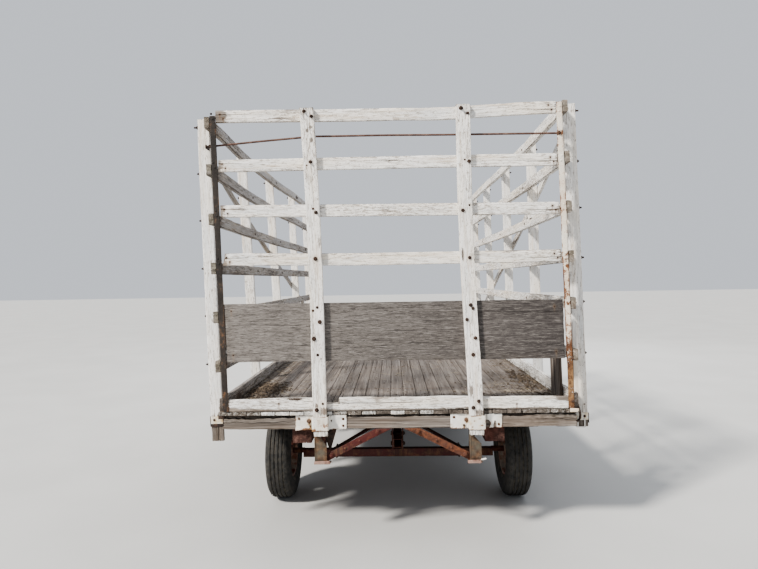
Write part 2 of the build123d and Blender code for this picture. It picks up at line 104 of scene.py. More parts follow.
# ------------------------------------------------------------------ mesh assembly
class Piece:
    """Collects the vertices, faces and point attributes of one object."""

    def __init__(self, name):
        self.name, self.count = name, 0
        self.verts, self.faces, self.atts = [], [], {"gco": [], "wear": [], "mark": []}

    def add(self, verts, faces, gco=None, wear=None, mark=None):
        verts = np.asarray(verts, float).reshape(-1, 3)
        n = len(verts)
        self.verts.append(verts)
        self.faces += [tuple(int(k) + self.count for k in f) for f in faces]
        self.count += n
        for key, value in (("gco", gco), ("wear", wear), ("mark", mark)):
            if value is None:
                value = verts if key == "gco" else np.zeros((n, 3))
            self.atts[key].append(np.broadcast_to(np.asarray(value, float), (n, 3)))

    def build(self, material, angle=38.0):
        mesh = bpy.data.meshes.new(self.name)
        co = np.concatenate(self.verts)
        mesh.from_pydata(co.tolist(), [], self.faces)
        for key, parts in self.atts.items():
            att = mesh.attributes.new(key, "FLOAT_VECTOR", "POINT")
            att.data.foreach_set("vector", np.concatenate(parts).astype(np.float32).ravel())
        mesh.validate(clean_customdata=False)
        mesh.shade_smooth()
        mesh.set_sharp_from_angle(angle=math.radians(angle))
        obj = bpy.data.objects.new(self.name, mesh)
        scene.collection.objects.link(obj)
        for m in material if isinstance(material, (list, tuple)) else [material]:
            mesh.materials.append(m)
        return obj


def put(piece, material, body="root", replaces=(), angle=38.0):
    obj = piece.build(material, angle)
    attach(obj, body)
    if replaces:
        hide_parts(*replaces)
    return obj


NAILS = []      # (world point, world outward normal, radius, kind)


def board(piece, org, S, U, V, L, W, T, seed, r=0.003, step=0.03, across=7, wear=1.0, bow=(0, 0), twist=0.0, cup=0.0,
          cracks=(), nails=(), rough=0.003, paint=0.5, bare=(), dirt=(), down=(0, 0, -1), saw=(0.0, 0.0), bites=0.5,
          stain=1.0, warp=None, ragged=None, end_paint=None, rise=0.0, add_nails=True, under=None):
    """One sawn board. org is the middle of its section at s = 0. S runs along it, U across its width, V through its thickness.
    cracks: (a, s0, s1, depth, side). nails: (s, a, side, radius). bare and dirt: (s, a, radius along, radius across, amount).
    ragged(s) is how far the +U edge has worn down, rise lifts the far end, warp(P) bends the board in space.
    step is the spacing along the board, or (near spacing, where it changes, far spacing). under is how many columns its low-V face has."""
    org, S, U, V = (np.asarray(p, float) for p in (org, S, U, V))
    # stations along the board
    if isinstance(step, tuple):
        near, split, far = step
        base = list(np.linspace(0, split, int(round(split / near)) + 1)) + list(np.linspace(split, L, int(round((L - split) / far)) + 1))[1:]
    else:
        base = list(np.linspace(0, L, max(3, int(round(L / step)) + 1)))
    g = np.array(down, float)
    gs, ga = float(g @ S), float(g @ U)
    fine = []
    for s, a, side, rad in nails:
        if abs(gs) > 0.5:
            span = np.linspace(-0.010, 0.085, 11) * np.sign(gs)
        else:
            span = np.linspace(-0.014, 0.014, 7)
        fine += [s + d for d in span]
    for s, a, rs, ra, amount in bare:
        fine += list(np.linspace(s - rs * 1.2, s + rs * 1.2, 7))
    edge_s = [r * 0.5, r * 2.5, L - r * 2.5, L - r * 0.5]
    ss = np.array(sorted(x for x in base + fine + edge_s if 0 <= x <= L))
    keep = np.concatenate([[True], np.diff(ss) > 0.0012])
    ss = ss[keep]
    ss[-1] = L
    # stations across the wide faces
    us = list(np.linspace(-W / 2 + r * 1.6, W / 2 - r * 1.6, across))
    cols = sorted({round(a, 4) for s, a, side, rad in nails})
    for a in cols:
        us += [a - 0.009, a - 0.0035, a + 0.0035, a + 0.009] if W > 0.03 else []
    crack_cols = []
    for a, s0, s1, depth, side in cracks:
        us = [u for u in us if abs(u - a) > 0.0030]
        us += [a - 0.0022, a, a + 0.0022]
        crack_cols.append(a)
    us = np.array(sorted(u for u in us if abs(u) < W / 2 - r * 1.1))
    ok = [True]
    for k in range(1, len(us)):
        near_crack = any(abs(us[k] - a) < 0.003 for a in crack_cols)
        ok.append(us[k] - us[k - 1] > (0.0015 if near_crack else 0.0028))
    us = us[np.array(ok)]
    m = len(us)
    cols_low = list(range(m))
    if under:
        free = [i for i in range(m) if all(abs(us[i] - a) > 0.0026 for a in crack_cols)]
        cols_low = sorted({free[int(round(k * (len(free) - 1) / (under - 1)))] for k in range(under)} | {0, m - 1})
    ml = len(cols_low)
    # perimeter: low-V face from -U to +U, +U side, high-V face from +U to -U, -U side
    per = []        # a, b, kind (0 low face, 1 +U side, 2 high face, 3 -U side, 4 corner), corner weight
    arc = [math.radians(d) for d in (0, 45, 90)]
    h, t = W / 2, T / 2
    per += [(u, -t, 0, 0.0) for u in us[cols_low]]
    per += [(h - r + r * math.sin(q), -t + r - r * math.cos(q), 4, 1.0) for q in arc]
    per += [(h, k, 1, 0.0) for k in (np.linspace(-t + r * 2, t - r * 2, 3)[1:-1] if T > 0.02 else [])]
    per += [(h - r + r * math.cos(q), t - r + r * math.sin(q), 4, 1.0) for q in arc]
    per += [(u, t, 2, 0.0) for u in us[::-1]]
    per += [(-h + r - r * math.sin(q), t - r + r * math.cos(q), 4, 1.0) for q in arc]
    per += [(-h, k, 3, 0.0) for k in (np.linspace(t - r * 2, -t + r * 2, 3)[1:-1] if T > 0.02 else [])]
    per += [(-h + r - r * math.cos(q), -t + r - r * math.sin(q), 4, 1.0) for q in arc]
    n = len(per)
    a0 = np.array([p[0] for p in per]); b0 = np.array([p[1] for p in per])
    kind = np.array([p[2] for p in per]); corner = np.array([p[3] for p in per])
    s2 = ss[:, None]
    A = np.repeat(a0[None, :], len(ss), 0)
    B = np.repeat(b0[None, :], len(ss), 0)
    Sx = np.repeat(s2, n, 1)
    # worn long edges, with a bite out here and there
    which = np.where(a0 > 0, 1, 0) + np.where(b0 > 0, 2, 0)
    for c in range(4):
        sel = (which == c) & (corner > 0)
        w = (0.0007 + 0.0010 * np.clip(fbm1(ss * 22 + c * 9.1, seed + c, 3) + 0.25, 0, 2)) * wear
        b_noise = noise1(ss * 5.5 + c * 3.3, seed + 40 + c)
        w = w + bites * wear * 0.006 * step01((b_noise - 0.62) / 0.3) * (0.6 + 0.4 * noise1(ss * 60, seed + 60 + c))
        A[:, sel] -= np.sign(a0[sel])[None, :] * w[:, None]
        B[:, sel] -= np.sign(b0[sel])[None, :] * w[:, None] * 0.8
    # wavy faces and edges
    flat_n = noise2(ss[:, None] * 7, a0[None, :] * 55, seed + 7)
    face = (kind == 0) | (kind == 2)
    B += np.where(face[None, :], np.sign(b0)[None, :] * (flat_n * 0.00045 - 0.00045), 0)
    A += np.where(((kind == 1) | (kind == 3))[None, :], np.sign(a0)[None, :] * (noise1(s2 * 8, seed + 9) * 0.0006 - 0.0006), 0)
    A *= 1 + 0.006 * noise1(s2 * 1.7, seed + 11) - 0.006
    # cup across the width
    if cup:
        B += cup * (1 - (2 * A / W) ** 2)
    if ragged:
        cut = np.asarray(ragged(Sx), float)
        A = np.where(A > -W * 0.25, A - cut * np.clip((A + W * 0.25) / (W * 0.75), 0, 1), A)
    # cracks along the grain
    for a, s0, s1, depth, side in cracks:
        ramp = min(0.06, (s1 - s0) * 0.35)
        lo = step01((ss - s0) / ramp) if s0 > 0.001 else np.ones_like(ss)
        hi = step01((s1 - ss) / ramp) if s1 < L - 0.001 else np.ones_like(ss)
        d = depth * lo * hi
        wide = 1 + 0.8 * d / max(depth, 1e-6)
        wander = 0.004 * noise1(ss * 3.1, seed + int(abs(a) * 1e4)) + 0.0012 * noise1(ss * 17, seed + 5 + int(abs(a) * 1e4))
        for j in range(n):
            if kind[j] in ((0,) if side < 0 else (2,) if side > 0 else (0, 2)):
                A[:, j] += wander * (lo * hi) * math.exp(-((a0[j] - a) / 0.014) ** 2)
            if abs(a0[j] - a) < 0.0024 and kind[j] in ((0,) if side < 0 else (2,) if side > 0 else (0, 2)):
                centre = abs(a0[j] - a) < 1e-5
                if centre:
                    B[:, j] -= np.sign(b0[j]) * np.minimum(d, T * (0.92 if side else 0.46))
                else:
                    A[:, j] += np.sign(a0[j] - a) * (wide - 1) * 0.0006
                    B[:, j] += np.sign(b0[j]) * 0.0003 * lo * hi
    # sawn ends, not quite square or smooth
    for at_end, sgn in ((0, 1), (-1, -1)):
        e = (noise2(a0 * 130 + 5, b0 * 130, seed + 21 + at_end) * 0.5 + 0.5) * rough + saw[0 if at_end == 0 else 1] * (a0 / W + 0.5)
        Sx[at_end, :] += sgn * e
        k = 1 if at_end == 0 else -2
        Sx[k, :] = np.maximum(Sx[k, :], Sx[0, :] + 0.0006) if at_end == 0 else np.minimum(Sx[k, :], Sx[-1, :] - 0.0006)
        shrink = 1 - 0.0014 / max(W, T)
        A[at_end, :] *= shrink
        B[at_end, :] *= 1 - 0.0014 / T
    # keep the order of stations near a skewed end
    for k in range(1, len(ss)):
        Sx[k, :] = np.maximum(Sx[k, :], Sx[k - 1, :] + 0.0003)
    Sx = np.minimum(Sx, L)
    ga_a, ga_b = A.copy(), B.copy()
    # bow and twist
    q = s2 / L
    bend = 4 * q * (1 - q)
    A = A + bow[0] * bend + 0.3 * bow[0] * bend * noise1(q * 3, seed + 13) + rise * step01((q - 0.35) / 0.65)
    B = B + bow[1] * bend
    if twist:
        ang = twist * (q - 0.5)
        A, B = A * np.cos(ang) - B * np.sin(ang), A * np.sin(ang) + B * np.cos(ang)
    P = org + Sx[..., None] * S + A[..., None] * U + B[..., None] * V
    if warp:
        P = warp(P)
    # attributes
    off = np.array([rnd(seed, 1), rnd(seed, 2), rnd(seed, 3)]) * 37.0
    gco = np.stack([ga_a, ga_b, Sx], -1) + off
    edge = np.where(corner[None, :] > 0, 0.0, np.where(face[None, :], h - np.abs(ga_a), t - np.abs(ga_b)))
    endd = np.minimum(Sx, L - Sx)
    coat = np.full_like(endd, paint)
    if end_paint is not None:
        coat[0, :] = end_paint
    wr = np.stack([np.clip(edge, 0, 0.05), np.clip(endd, 0, 0.2), coat], -1)
    mark = np.zeros(P.shape)
    for k, (s, a, side, rad) in enumerate(nails):
        same = (np.sign(b0) == side)[None, :]
        ds, da = Sx - s, ga_a - a
        if abs(gs) > 0.5:
            run, off_axis = ds * np.sign(gs), da
        else:
            run, off_axis = da * np.sign(ga), ds
        length = 0.030 + 0.055 * rnd(seed, 100 + k)
        streak = np.exp(-(off_axis / (0.0045 + 0.002 * np.clip(run / 0.05, 0, 1))) ** 2) * np.clip(1 - run / length, 0, 1) * (run > -0.002)
        halo = np.exp(-((ds ** 2 + da ** 2) / (rad * 1.9) ** 2))
        mark[..., 0] = np.maximum(mark[..., 0], np.where(same, np.maximum(streak * 0.85, halo) * stain, 0))
    for s, a, rs, ra, amount in bare:
        f = amount * np.exp(-(((Sx - s) / rs) ** 2 + ((ga_a - a) / ra) ** 2))
        mark[..., 1] = np.clip(mark[..., 1] + f, -1, 1)
    for s, a, rs, ra, amount in dirt:
        f = amount * np.exp(-(((Sx - s) / rs) ** 2 + ((ga_a - a) / ra) ** 2))
        mark[..., 2] = np.clip(mark[..., 2] + f, -1, 1)
    ns = len(ss)
    faces = [(k * n + j, k * n + (j + 1) % n, (k + 1) * n + (j + 1) % n, (k + 1) * n + j) for k in range(ns - 1) for j in range(n)]
    # caps: strips between the two wide faces, and a polygon at each side
    c = (n - ml - m) // 2
    low, side_p, high, side_n = list(range(ml)), list(range(ml, ml + c)), list(range(ml + c, ml + c + m)), list(range(ml + c + m, n))
    for k0, flip in ((0, False), ((ns - 1) * n, True)):
        polys = [(low[i],) + tuple(high[m - 1 - j] for j in range(cols_low[i], cols_low[i + 1] + 1)) + (low[i + 1],) for i in range(ml - 1)]
        polys.append(tuple([low[-1]] + [high[0]] + side_p[::-1]))
        polys.append(tuple([high[-1]] + [low[0]] + side_n[::-1]))
        for p in polys:
            p = tuple(k0 + x for x in p)
            faces.append(p[::-1] if flip else p)
    if np.dot(np.cross(U, V), S) < 0:
        faces = [f[::-1] for f in faces]
    piece.add(P.reshape(-1, 3), faces, gco.reshape(-1, 3), wr.reshape(-1, 3), mark.reshape(-1, 3))
    for s, a, side, rad in nails if add_nails else ():
        qq = s / L
        bd = 4 * qq * (1 - qq)
        bb = side * (T / 2 - 0.0006) + bow[1] * bd + (cup * (1 - (2 * a / W) ** 2) if cup else 0)
        p = org + s * S + (a + bow[0] * bd + rise * float(step01((qq - 0.35) / 0.65))) * U + bb * V
        p = warp(p) if warp else p
        nrm = V / np.linalg.norm(V) * side
        NAILS.append((p, nrm, rad, "nail"))


def nail_heads(name, items, material):
    """Domed heads, each slightly tipped."""
    piece = Piece(name)
    for k, (p, nrm, rad, kind) in enumerate(items):
        nrm = Vector(nrm).normalized()
        tip = Vector((rnd(k, 5) - 0.5, rnd(k, 6) - 0.5, rnd(k, 7) - 0.5)) * 0.16
        z = (nrm + tip).normalized()
        x = z.orthogonal().normalized()
        y = z.cross(x)
        sides = 6 if kind == "hex" else 9
        rings = ((1.0, -0.3), (1.0, 0.15), (0.86, 0.32), (0.45, 0.44)) if kind != "hex" else ((1.0, -0.3), (1.0, 0.62), (0.9, 0.70), (0.3, 0.72))
        turn = rnd(k, 8) * 6.28
        verts = []
        for rr, hh in rings:
            for i in range(sides):
                q = turn + 2 * math.pi * i / sides
                wob = 1 + 0.05 * (rnd(k * 13 + i, 9) - 0.5)
                verts.append(Vector(p) + (x * math.cos(q) + y * math.sin(q)) * rad * rr * wob + z * rad * hh)
        verts.append(Vector(p) + z * rad * (rings[-1][1] + 0.03))
        faces = [(a * sides + i, a * sides + (i + 1) % sides, (a + 1) * sides + (i + 1) % sides, (a + 1) * sides + i) for a in range(len(rings) - 1) for i in range(sides)]
        faces += [((len(rings) - 1) * sides + i, (len(rings) - 1) * sides + (i + 1) % sides, len(verts) - 1) for i in range(sides)]
        piece.add([tuple(v) for v in verts], faces)
    return put(piece, material, angle=50)


# ------------------------------------------------------------------ shader helpers
class Nodes:
    def __init__(self, name):
        self.mat = bpy.data.materials.new(name)
        self.mat.use_nodes = True
        self.t = self.mat.node_tree
        self.t.nodes.clear()
        self.out = self.t.nodes.new("ShaderNodeOutputMaterial")
        self.bsdf = self.t.nodes.new("ShaderNodeBsdfPrincipled")
        self.t.links.new(self.bsdf.outputs[0], self.out.inputs[0])

    def new(self, kind, **props):
        n = self.t.nodes.new(kind)
        for k, v in props.items():
            setattr(n, k, v)
        return n

    def link(self, a, b):
        self.t.links.new(a, b)

    def feed(self, socket, value):
        if isinstance(value, bpy.types.NodeSocket):
            self.link(value, socket)
        else:
            socket.default_value = value

    def att(self, name):
        return self.new("ShaderNodeAttribute", attribute_name=name, attribute_type="GEOMETRY").outputs["Vector"]

    def obj(self):
        return self.new("ShaderNodeTexCoord").outputs["Object"]

    def xyz(self, v):
        n = self.new("ShaderNodeSeparateXYZ")
        self.link(v, n.inputs[0])
        return n.outputs[0], n.outputs[1], n.outputs[2]

    def scale(self, v, s):
        n = self.new("ShaderNodeVectorMath", operation="MULTIPLY")
        self.feed(n.inputs[0], v)
        n.inputs[1].default_value = s
        return n.outputs[0]

    def vadd(self, a, b):
        n = self.new("ShaderNodeVectorMath", operation="ADD")
        self.feed(n.inputs[0], a)
        self.feed(n.inputs[1], b)
        return n.outputs[0]

    def noise(self, v, scale=1.0, detail=3.0, rough=0.55, dist=0.0, color=False):
        n = self.new("ShaderNodeTexNoise")
        self.link(v, n.inputs["Vector"])
        n.inputs["Scale"].default_value = scale
        n.inputs["Detail"].default_value = detail
        n.inputs["Roughness"].default_value = rough
        n.inputs["Distortion"].default_value = dist
        return n.outputs["Color" if color else "Fac"]

    def voronoi(self, v, scale=1.0, feature="F1", rnd_=1.0):
        n = self.new("ShaderNodeTexVoronoi", feature=feature)
        self.link(v, n.inputs["Vector"])
        n.inputs["Scale"].default_value = scale
        n.inputs["Randomness"].default_value = rnd_
        return n.outputs["Distance"]

    def m(self, op, a, b=0.0, c=None, clamp=False):
        n = self.new("ShaderNodeMath", operation=op, use_clamp=clamp)
        self.feed(n.inputs[0], a)
        self.feed(n.inputs[1], b)
        if c is not None:
            self.feed(n.inputs[2], c)
        return n.outputs[0]

    def span(self, x, a, b, c=0.0, d=1.0, smooth=True):
        n = self.new("ShaderNodeMapRange", interpolation_type="SMOOTHSTEP" if smooth else "LINEAR", clamp=True)
        self.feed(n.inputs[0], x)
        for k, v in enumerate((a, b, c, d)):
            self.feed(n.inputs[1 + k], v)
        return n.outputs[0]

    def mix(self, f, a, b, mode="MIX"):
        n = self.new("ShaderNodeMix", data_type="RGBA", blend_type=mode)
        self.feed(n.inputs[0], f)
        self.feed(n.inputs[6], a if isinstance(a, bpy.types.NodeSocket) else (*a, 1))
        self.feed(n.inputs[7], b if isinstance(b, bpy.types.NodeSocket) else (*b, 1))
        return n.outputs[2]

    def ramp(self, f, stops):
        n = self.new("ShaderNodeValToRGB")
        self.feed(n.inputs[0], f)
        e = n.color_ramp.elements
        while len(e) > 1:
            e.remove(e[-1])
        e[0].position, e[0].color = stops[0][0], (*stops[0][1], 1)
        for p, c in stops[1:]:
            k = e.new(p)
            k.color = (*c, 1)
        return n.outputs[0]

    def bump(self, height, strength=0.5, distance=0.001, normal=None):
        n = self.new("ShaderNodeBump")
        n.inputs["Strength"].default_value = strength
        n.inputs["Distance"].default_value = distance
        self.feed(n.inputs["Height"], height)
        if normal is not None:
            self.link(normal, n.inputs["Normal"])
        return n.outputs[0]

    def finish(self, color, rough, normal=None, metallic=0.0, spec=None):
        self.feed(self.bsdf.inputs["Base Color"], color)
        self.feed(self.bsdf.inputs["Roughness"], rough)
        self.feed(self.bsdf.inputs["Metallic"], metallic)
        if spec is not None:
            self.bsdf.inputs["Specular IOR Level"].default_value = spec
        if normal is not None:
            self.link(normal, self.bsdf.inputs["Normal"])
        return self.mat


def wood(name, dark, mid, light, brown, painted=False, paint_a=(0.80, 0.79, 0.765), paint_b=(0.77, 0.715, 0.62), peel=0.0, brown_amount=0.4,
         streaks=None, contrast=1.0):
    """Weathered sawn wood with long grain, checks and knots. painted adds old white paint, worn through along the grain.
    Attributes: gco board coordinates; wear edge distance, end distance, paint; mark rust, bare, dirt (below 0: lichen)."""
    n = Nodes(name)
    g = n.att("gco")
    wr = n.att("wear")
    mk = n.att("mark")
    edge, endd, paint = n.xyz(wr)
    rust, bare, dirt = n.xyz(mk)
    warp = n.noise(n.scale(g, (9, 9, 1.3)), 1, 2, 0.5, color=True)
    gw = n.vadd(g, n.scale(warp, (0.012, 0.012, 0.0)))
    broad = n.noise(n.scale(gw, (26, 26, 0.9)), 1, 3, 0.6)
    grain = n.noise(n.scale(gw, (150, 150, 2.6)), 1, 4, 0.62)
    fine = n.noise(n.scale(gw, (620, 620, 11)), 1, 3, 0.6)
    check = n.noise(n.scale(gw, (240, 240, 2.6)), 1, 3, 0.5)
    checks = n.span(check, 0.655, 0.70)
    # a knot here and there
    vor = n.voronoi(n.scale(g, (3.2, 3.2, 1.15)), 1)
    knot = n.span(vor, 0.105, 0.055)
    knot_ring = n.m("MULTIPLY", n.span(vor, 0.20, 0.115), n.m("ABSOLUTE", n.m("SINE", n.m("MULTIPLY", vor, 160.0))))
    tone = n.m("ADD", n.m("MULTIPLY", broad, 0.36), n.m("MULTIPLY", grain, 0.44))
    tone = n.m("ADD", tone, n.m("MULTIPLY", fine, 0.20))
    lo, md, hi = 0.5 - 0.12 / contrast, 0.495, 0.5 + 0.11 / contrast
    col = n.ramp(tone, [(lo, dark), (md, mid), (hi, light)])
    patch = n.noise(n.scale(g, (7, 7, 1.7)), 1, 3, 0.55)
    col = n.mix(n.m("MULTIPLY", n.span(patch, 0.44, 0.64), brown_amount), col, n.mix(0.65, col, brown))
    col = n.mix(n.m("MULTIPLY", n.span(broad, 0.60, 0.42), 0.25), col, dark)
    if streaks:
        # lighter toward the left side of the wagon
        across, _, _ = n.xyz(n.obj())
        light_side = n.span(across, 1.20, -1.10, smooth=False)
        col = n.mix(n.m("MULTIPLY", light_side, 0.70), col, (0.262, 0.239, 0.218))
        st3 = n.noise(n.vadd(n.scale(gw, (80, 80, 4.5)), (4.0, 1.0, 2.0)), 1, 4, 0.65)
        col = n.mix(n.m("MULTIPLY", n.span(st3, 0.52, 0.62), 0.42), col, dark)
        st = n.noise(n.scale(gw, (250, 250, 15)), 1, 6, 0.76)
        col = n.mix(n.m("MULTIPLY", n.span(st, 0.510, 0.600), n.m("ADD", 0.42, n.m("MULTIPLY", light_side, 0.34))), col, streaks)
        st2 = n.noise(n.vadd(n.scale(gw, (220, 220, 21)), (1.0, 6.0, 3.0)), 1, 6, 0.76)
        col = n.mix(n.m("MULTIPLY", n.span(st2, 0.515, 0.590), 0.74), col, dark)
    col = n.mix(knot_ring, col, n.mix(0.45, col, brown))
    col = n.mix(knot, col, (0.050, 0.033, 0.024))
    col = n.mix(n.m("MULTIPLY", checks, 0.85), col, (0.022, 0.019, 0.017))
    height = n.m("ADD", n.m("MULTIPLY", grain, 0.5), n.m("MULTIPLY", fine, 0.25))
    height = n.m("SUBTRACT", height, n.m("MULTIPLY", checks, 0.8))
    rough = n.span(tone, 0.3, 0.7, 0.92, 0.80, smooth=False)
    if painted:
        flakes = n.noise(n.scale(gw, (66, 66, 6.5)), 1, 6, 0.70)
        long_f = n.noise(n.scale(gw, (170, 170, 7.5)), 1, 4, 0.64)
        area = n.noise(n.scale(g, (5.5, 5.5, 1.1)), 1, 2, 0.5)
        tiny = n.noise(n.scale(gw, (330, 330, 60)), 1, 3, 0.7)
        cover = n.m("ADD", n.m("MULTIPLY", flakes, 0.30), n.m("MULTIPLY", long_f, 0.30))
        cover = n.m("ADD", cover, n.m("MULTIPLY", area, 0.22))
        cover = n.m("ADD", cover, n.m("MULTIPLY", tiny, 0.30))
        cover = n.m("ADD", cover, n.m("MULTIPLY", n.m("SUBTRACT", paint, 0.5), 0.34))
        cover = n.m("SUBTRACT", cover, n.m("MULTIPLY", n.span(edge, 0.006, 0.0), 0.07))
        cover = n.m("SUBTRACT", cover, n.m("MULTIPLY", n.span(endd, 0.030, 0.0), 0.12))
        cover = n.m("SUBTRACT", cover, n.m("MULTIPLY", bare, 0.55))
        cover = n.m("SUBTRACT", cover, n.m("MULTIPLY", checks, 0.06))
        cover = n.m("SUBTRACT", cover, n.m("MULTIPLY", knot, 0.12))
        t0 = 0.482 + peel
        mask = n.span(cover, t0, t0 + 0.018)
        thin = n.span(cover, t0 - 0.07, t0 + 0.10)
        # chalky white, creamier in places and greyer in others
        pt = n.noise(n.scale(g, (10, 10, 1.6)), 1, 3, 0.6)
        pt2 = n.noise(n.vadd(n.scale(g, (13, 13, 2.2)), (5.0, 9.0, 3.0)), 1, 3, 0.6)
        pcol = n.mix(n.m("MULTIPLY", n.span(pt, 0.42, 0.66), 0.80), paint_a, paint_b)
        pcol = n.mix(n.m("MULTIPLY", n.span(pt2, 0.46, 0.68), 0.55), pcol, tuple(x * 0.80 for x in paint_a[::-1]))
        # grain that shows through as thin grey-brown lines, and thin paint between them
        lines = n.noise(n.scale(gw, (210, 210, 8.0)), 1, 5, 0.68)
        busy = n.span(paint, 0.90, 0.64, 0.30, 1.0)       # well painted boards are calmer
        pcol = n.mix(n.m("MULTIPLY", n.span(lines, 0.520, 0.595), n.m("MULTIPLY", busy, 0.60)), pcol, tuple(0.42 * x + y for x, y in zip(paint_a, (0.020, -0.012, -0.045))))
        lines2 = n.noise(n.vadd(n.scale(gw, (120, 120, 11)), (7.7, 2.2, 4.4)), 1, 5, 0.70)
        pcol = n.mix(n.m("MULTIPLY", n.span(lines2, 0.530, 0.600), n.m("MULTIPLY", busy, 0.62)), pcol, tuple(0.38 * x + y for x, y in zip(paint_a, (0.030, 0.000, -0.035))))
        pcol = n.mix(n.m("MULTIPLY", n.span(fine, 0.60, 0.36), 0.16), pcol, (0.40, 0.36, 0.33))
        # small worn-through flecks and dark specks
        fl = n.noise(n.scale(gw, (105, 105, 24)), 1, 6, 0.72)
        fl = n.m("SUBTRACT", fl, n.m("MULTIPLY", n.m("SUBTRACT", area, 0.5), 0.30))
        fleck = n.span(n.m("SUBTRACT", fl, n.m("MULTIPLY", n.m("SUBTRACT", paint, 0.62), 0.16)), 0.566, 0.598)
        pcol = n.mix(n.m("MULTIPLY", fleck, 0.72), pcol, (0.300, 0.250, 0.205))
        sp = n.noise(n.vadd(n.scale(g, (150, 150, 60)), (3.1, 1.7, 8.8)), 1, 4, 0.70)
        speck = n.span(sp, 0.640, 0.665)
        pcol = n.mix(n.m("MULTIPLY", speck, 0.85), pcol, (0.085, 0.062, 0.050))
        stain_n = n.noise(n.scale(g, (24, 24, 1.5)), 1, 3, 0.6)
        pcol = n.mix(n.m("MULTIPLY", n.span(stain_n, 0.54, 0.70), 0.35), pcol, (0.56, 0.43, 0.29))
        # chalky paint left in the grain of the worn parts
        ghost = n.m("MULTIPLY", thin, n.span(long_f, 0.42, 0.60))
        col = n.mix(n.m("MULTIPLY", ghost, 0.55), col, paint_b)
        col = n.mix(mask, col, pcol)
        height = n.m("ADD", n.m("MULTIPLY", height, n.span(mask, 0.0, 1.0, 1.0, 0.55, smooth=False)), n.m("MULTIPLY", mask, 0.55))
        height = n.m("SUBTRACT", height, n.m("MULTIPLY", n.m("MAXIMUM", fleck, speck), 0.40))
        rough = n.m("SUBTRACT", rough, n.m("MULTIPLY", mask, 0.20))
    # lichen blotches, and dirt that lies in patches
    ln = n.noise(n.scale(g, (95, 95, 60)), 1, 4, 0.7)
    lich = n.m("MULTIPLY", n.m("MULTIPLY", dirt, -1.0, clamp=True), n.span(ln, 0.42, 0.54), clamp=True)
    col = n.mix(n.m("MULTIPLY", lich, 0.85), col, n.mix(n.span(fine, 0.35, 0.65), (0.165, 0.158, 0.118), (0.36, 0.338, 0.258)))
    dn = n.noise(n.scale(g, (60, 60, 22)), 1, 4, 0.7)
    grime = n.m("MULTIPLY", n.m("MAXIMUM", dirt, 0.0), n.span(dn, 0.40, 0.60), clamp=True)
    col = n.mix(n.m("MULTIPLY", grime, 0.85), col, (0.060, 0.048, 0.036))
    rn = n.noise(n.scale(g, (300, 300, 60)), 1, 3, 0.7)
    rust_f = n.m("MULTIPLY", rust, n.span(rn, 0.25, 0.60, 0.45, 1.0), clamp=True)
    col = n.mix(rust_f, col, n.ramp(rust, [(0.0, (0.34, 0.24, 0.15)), (0.6, (0.15, 0.080, 0.042)), (1.0, (0.035, 0.018, 0.012))]))
    normal = n.bump(height, 0.80, 0.0018)
    return n.finish(col, rough, normal, spec=0.25)


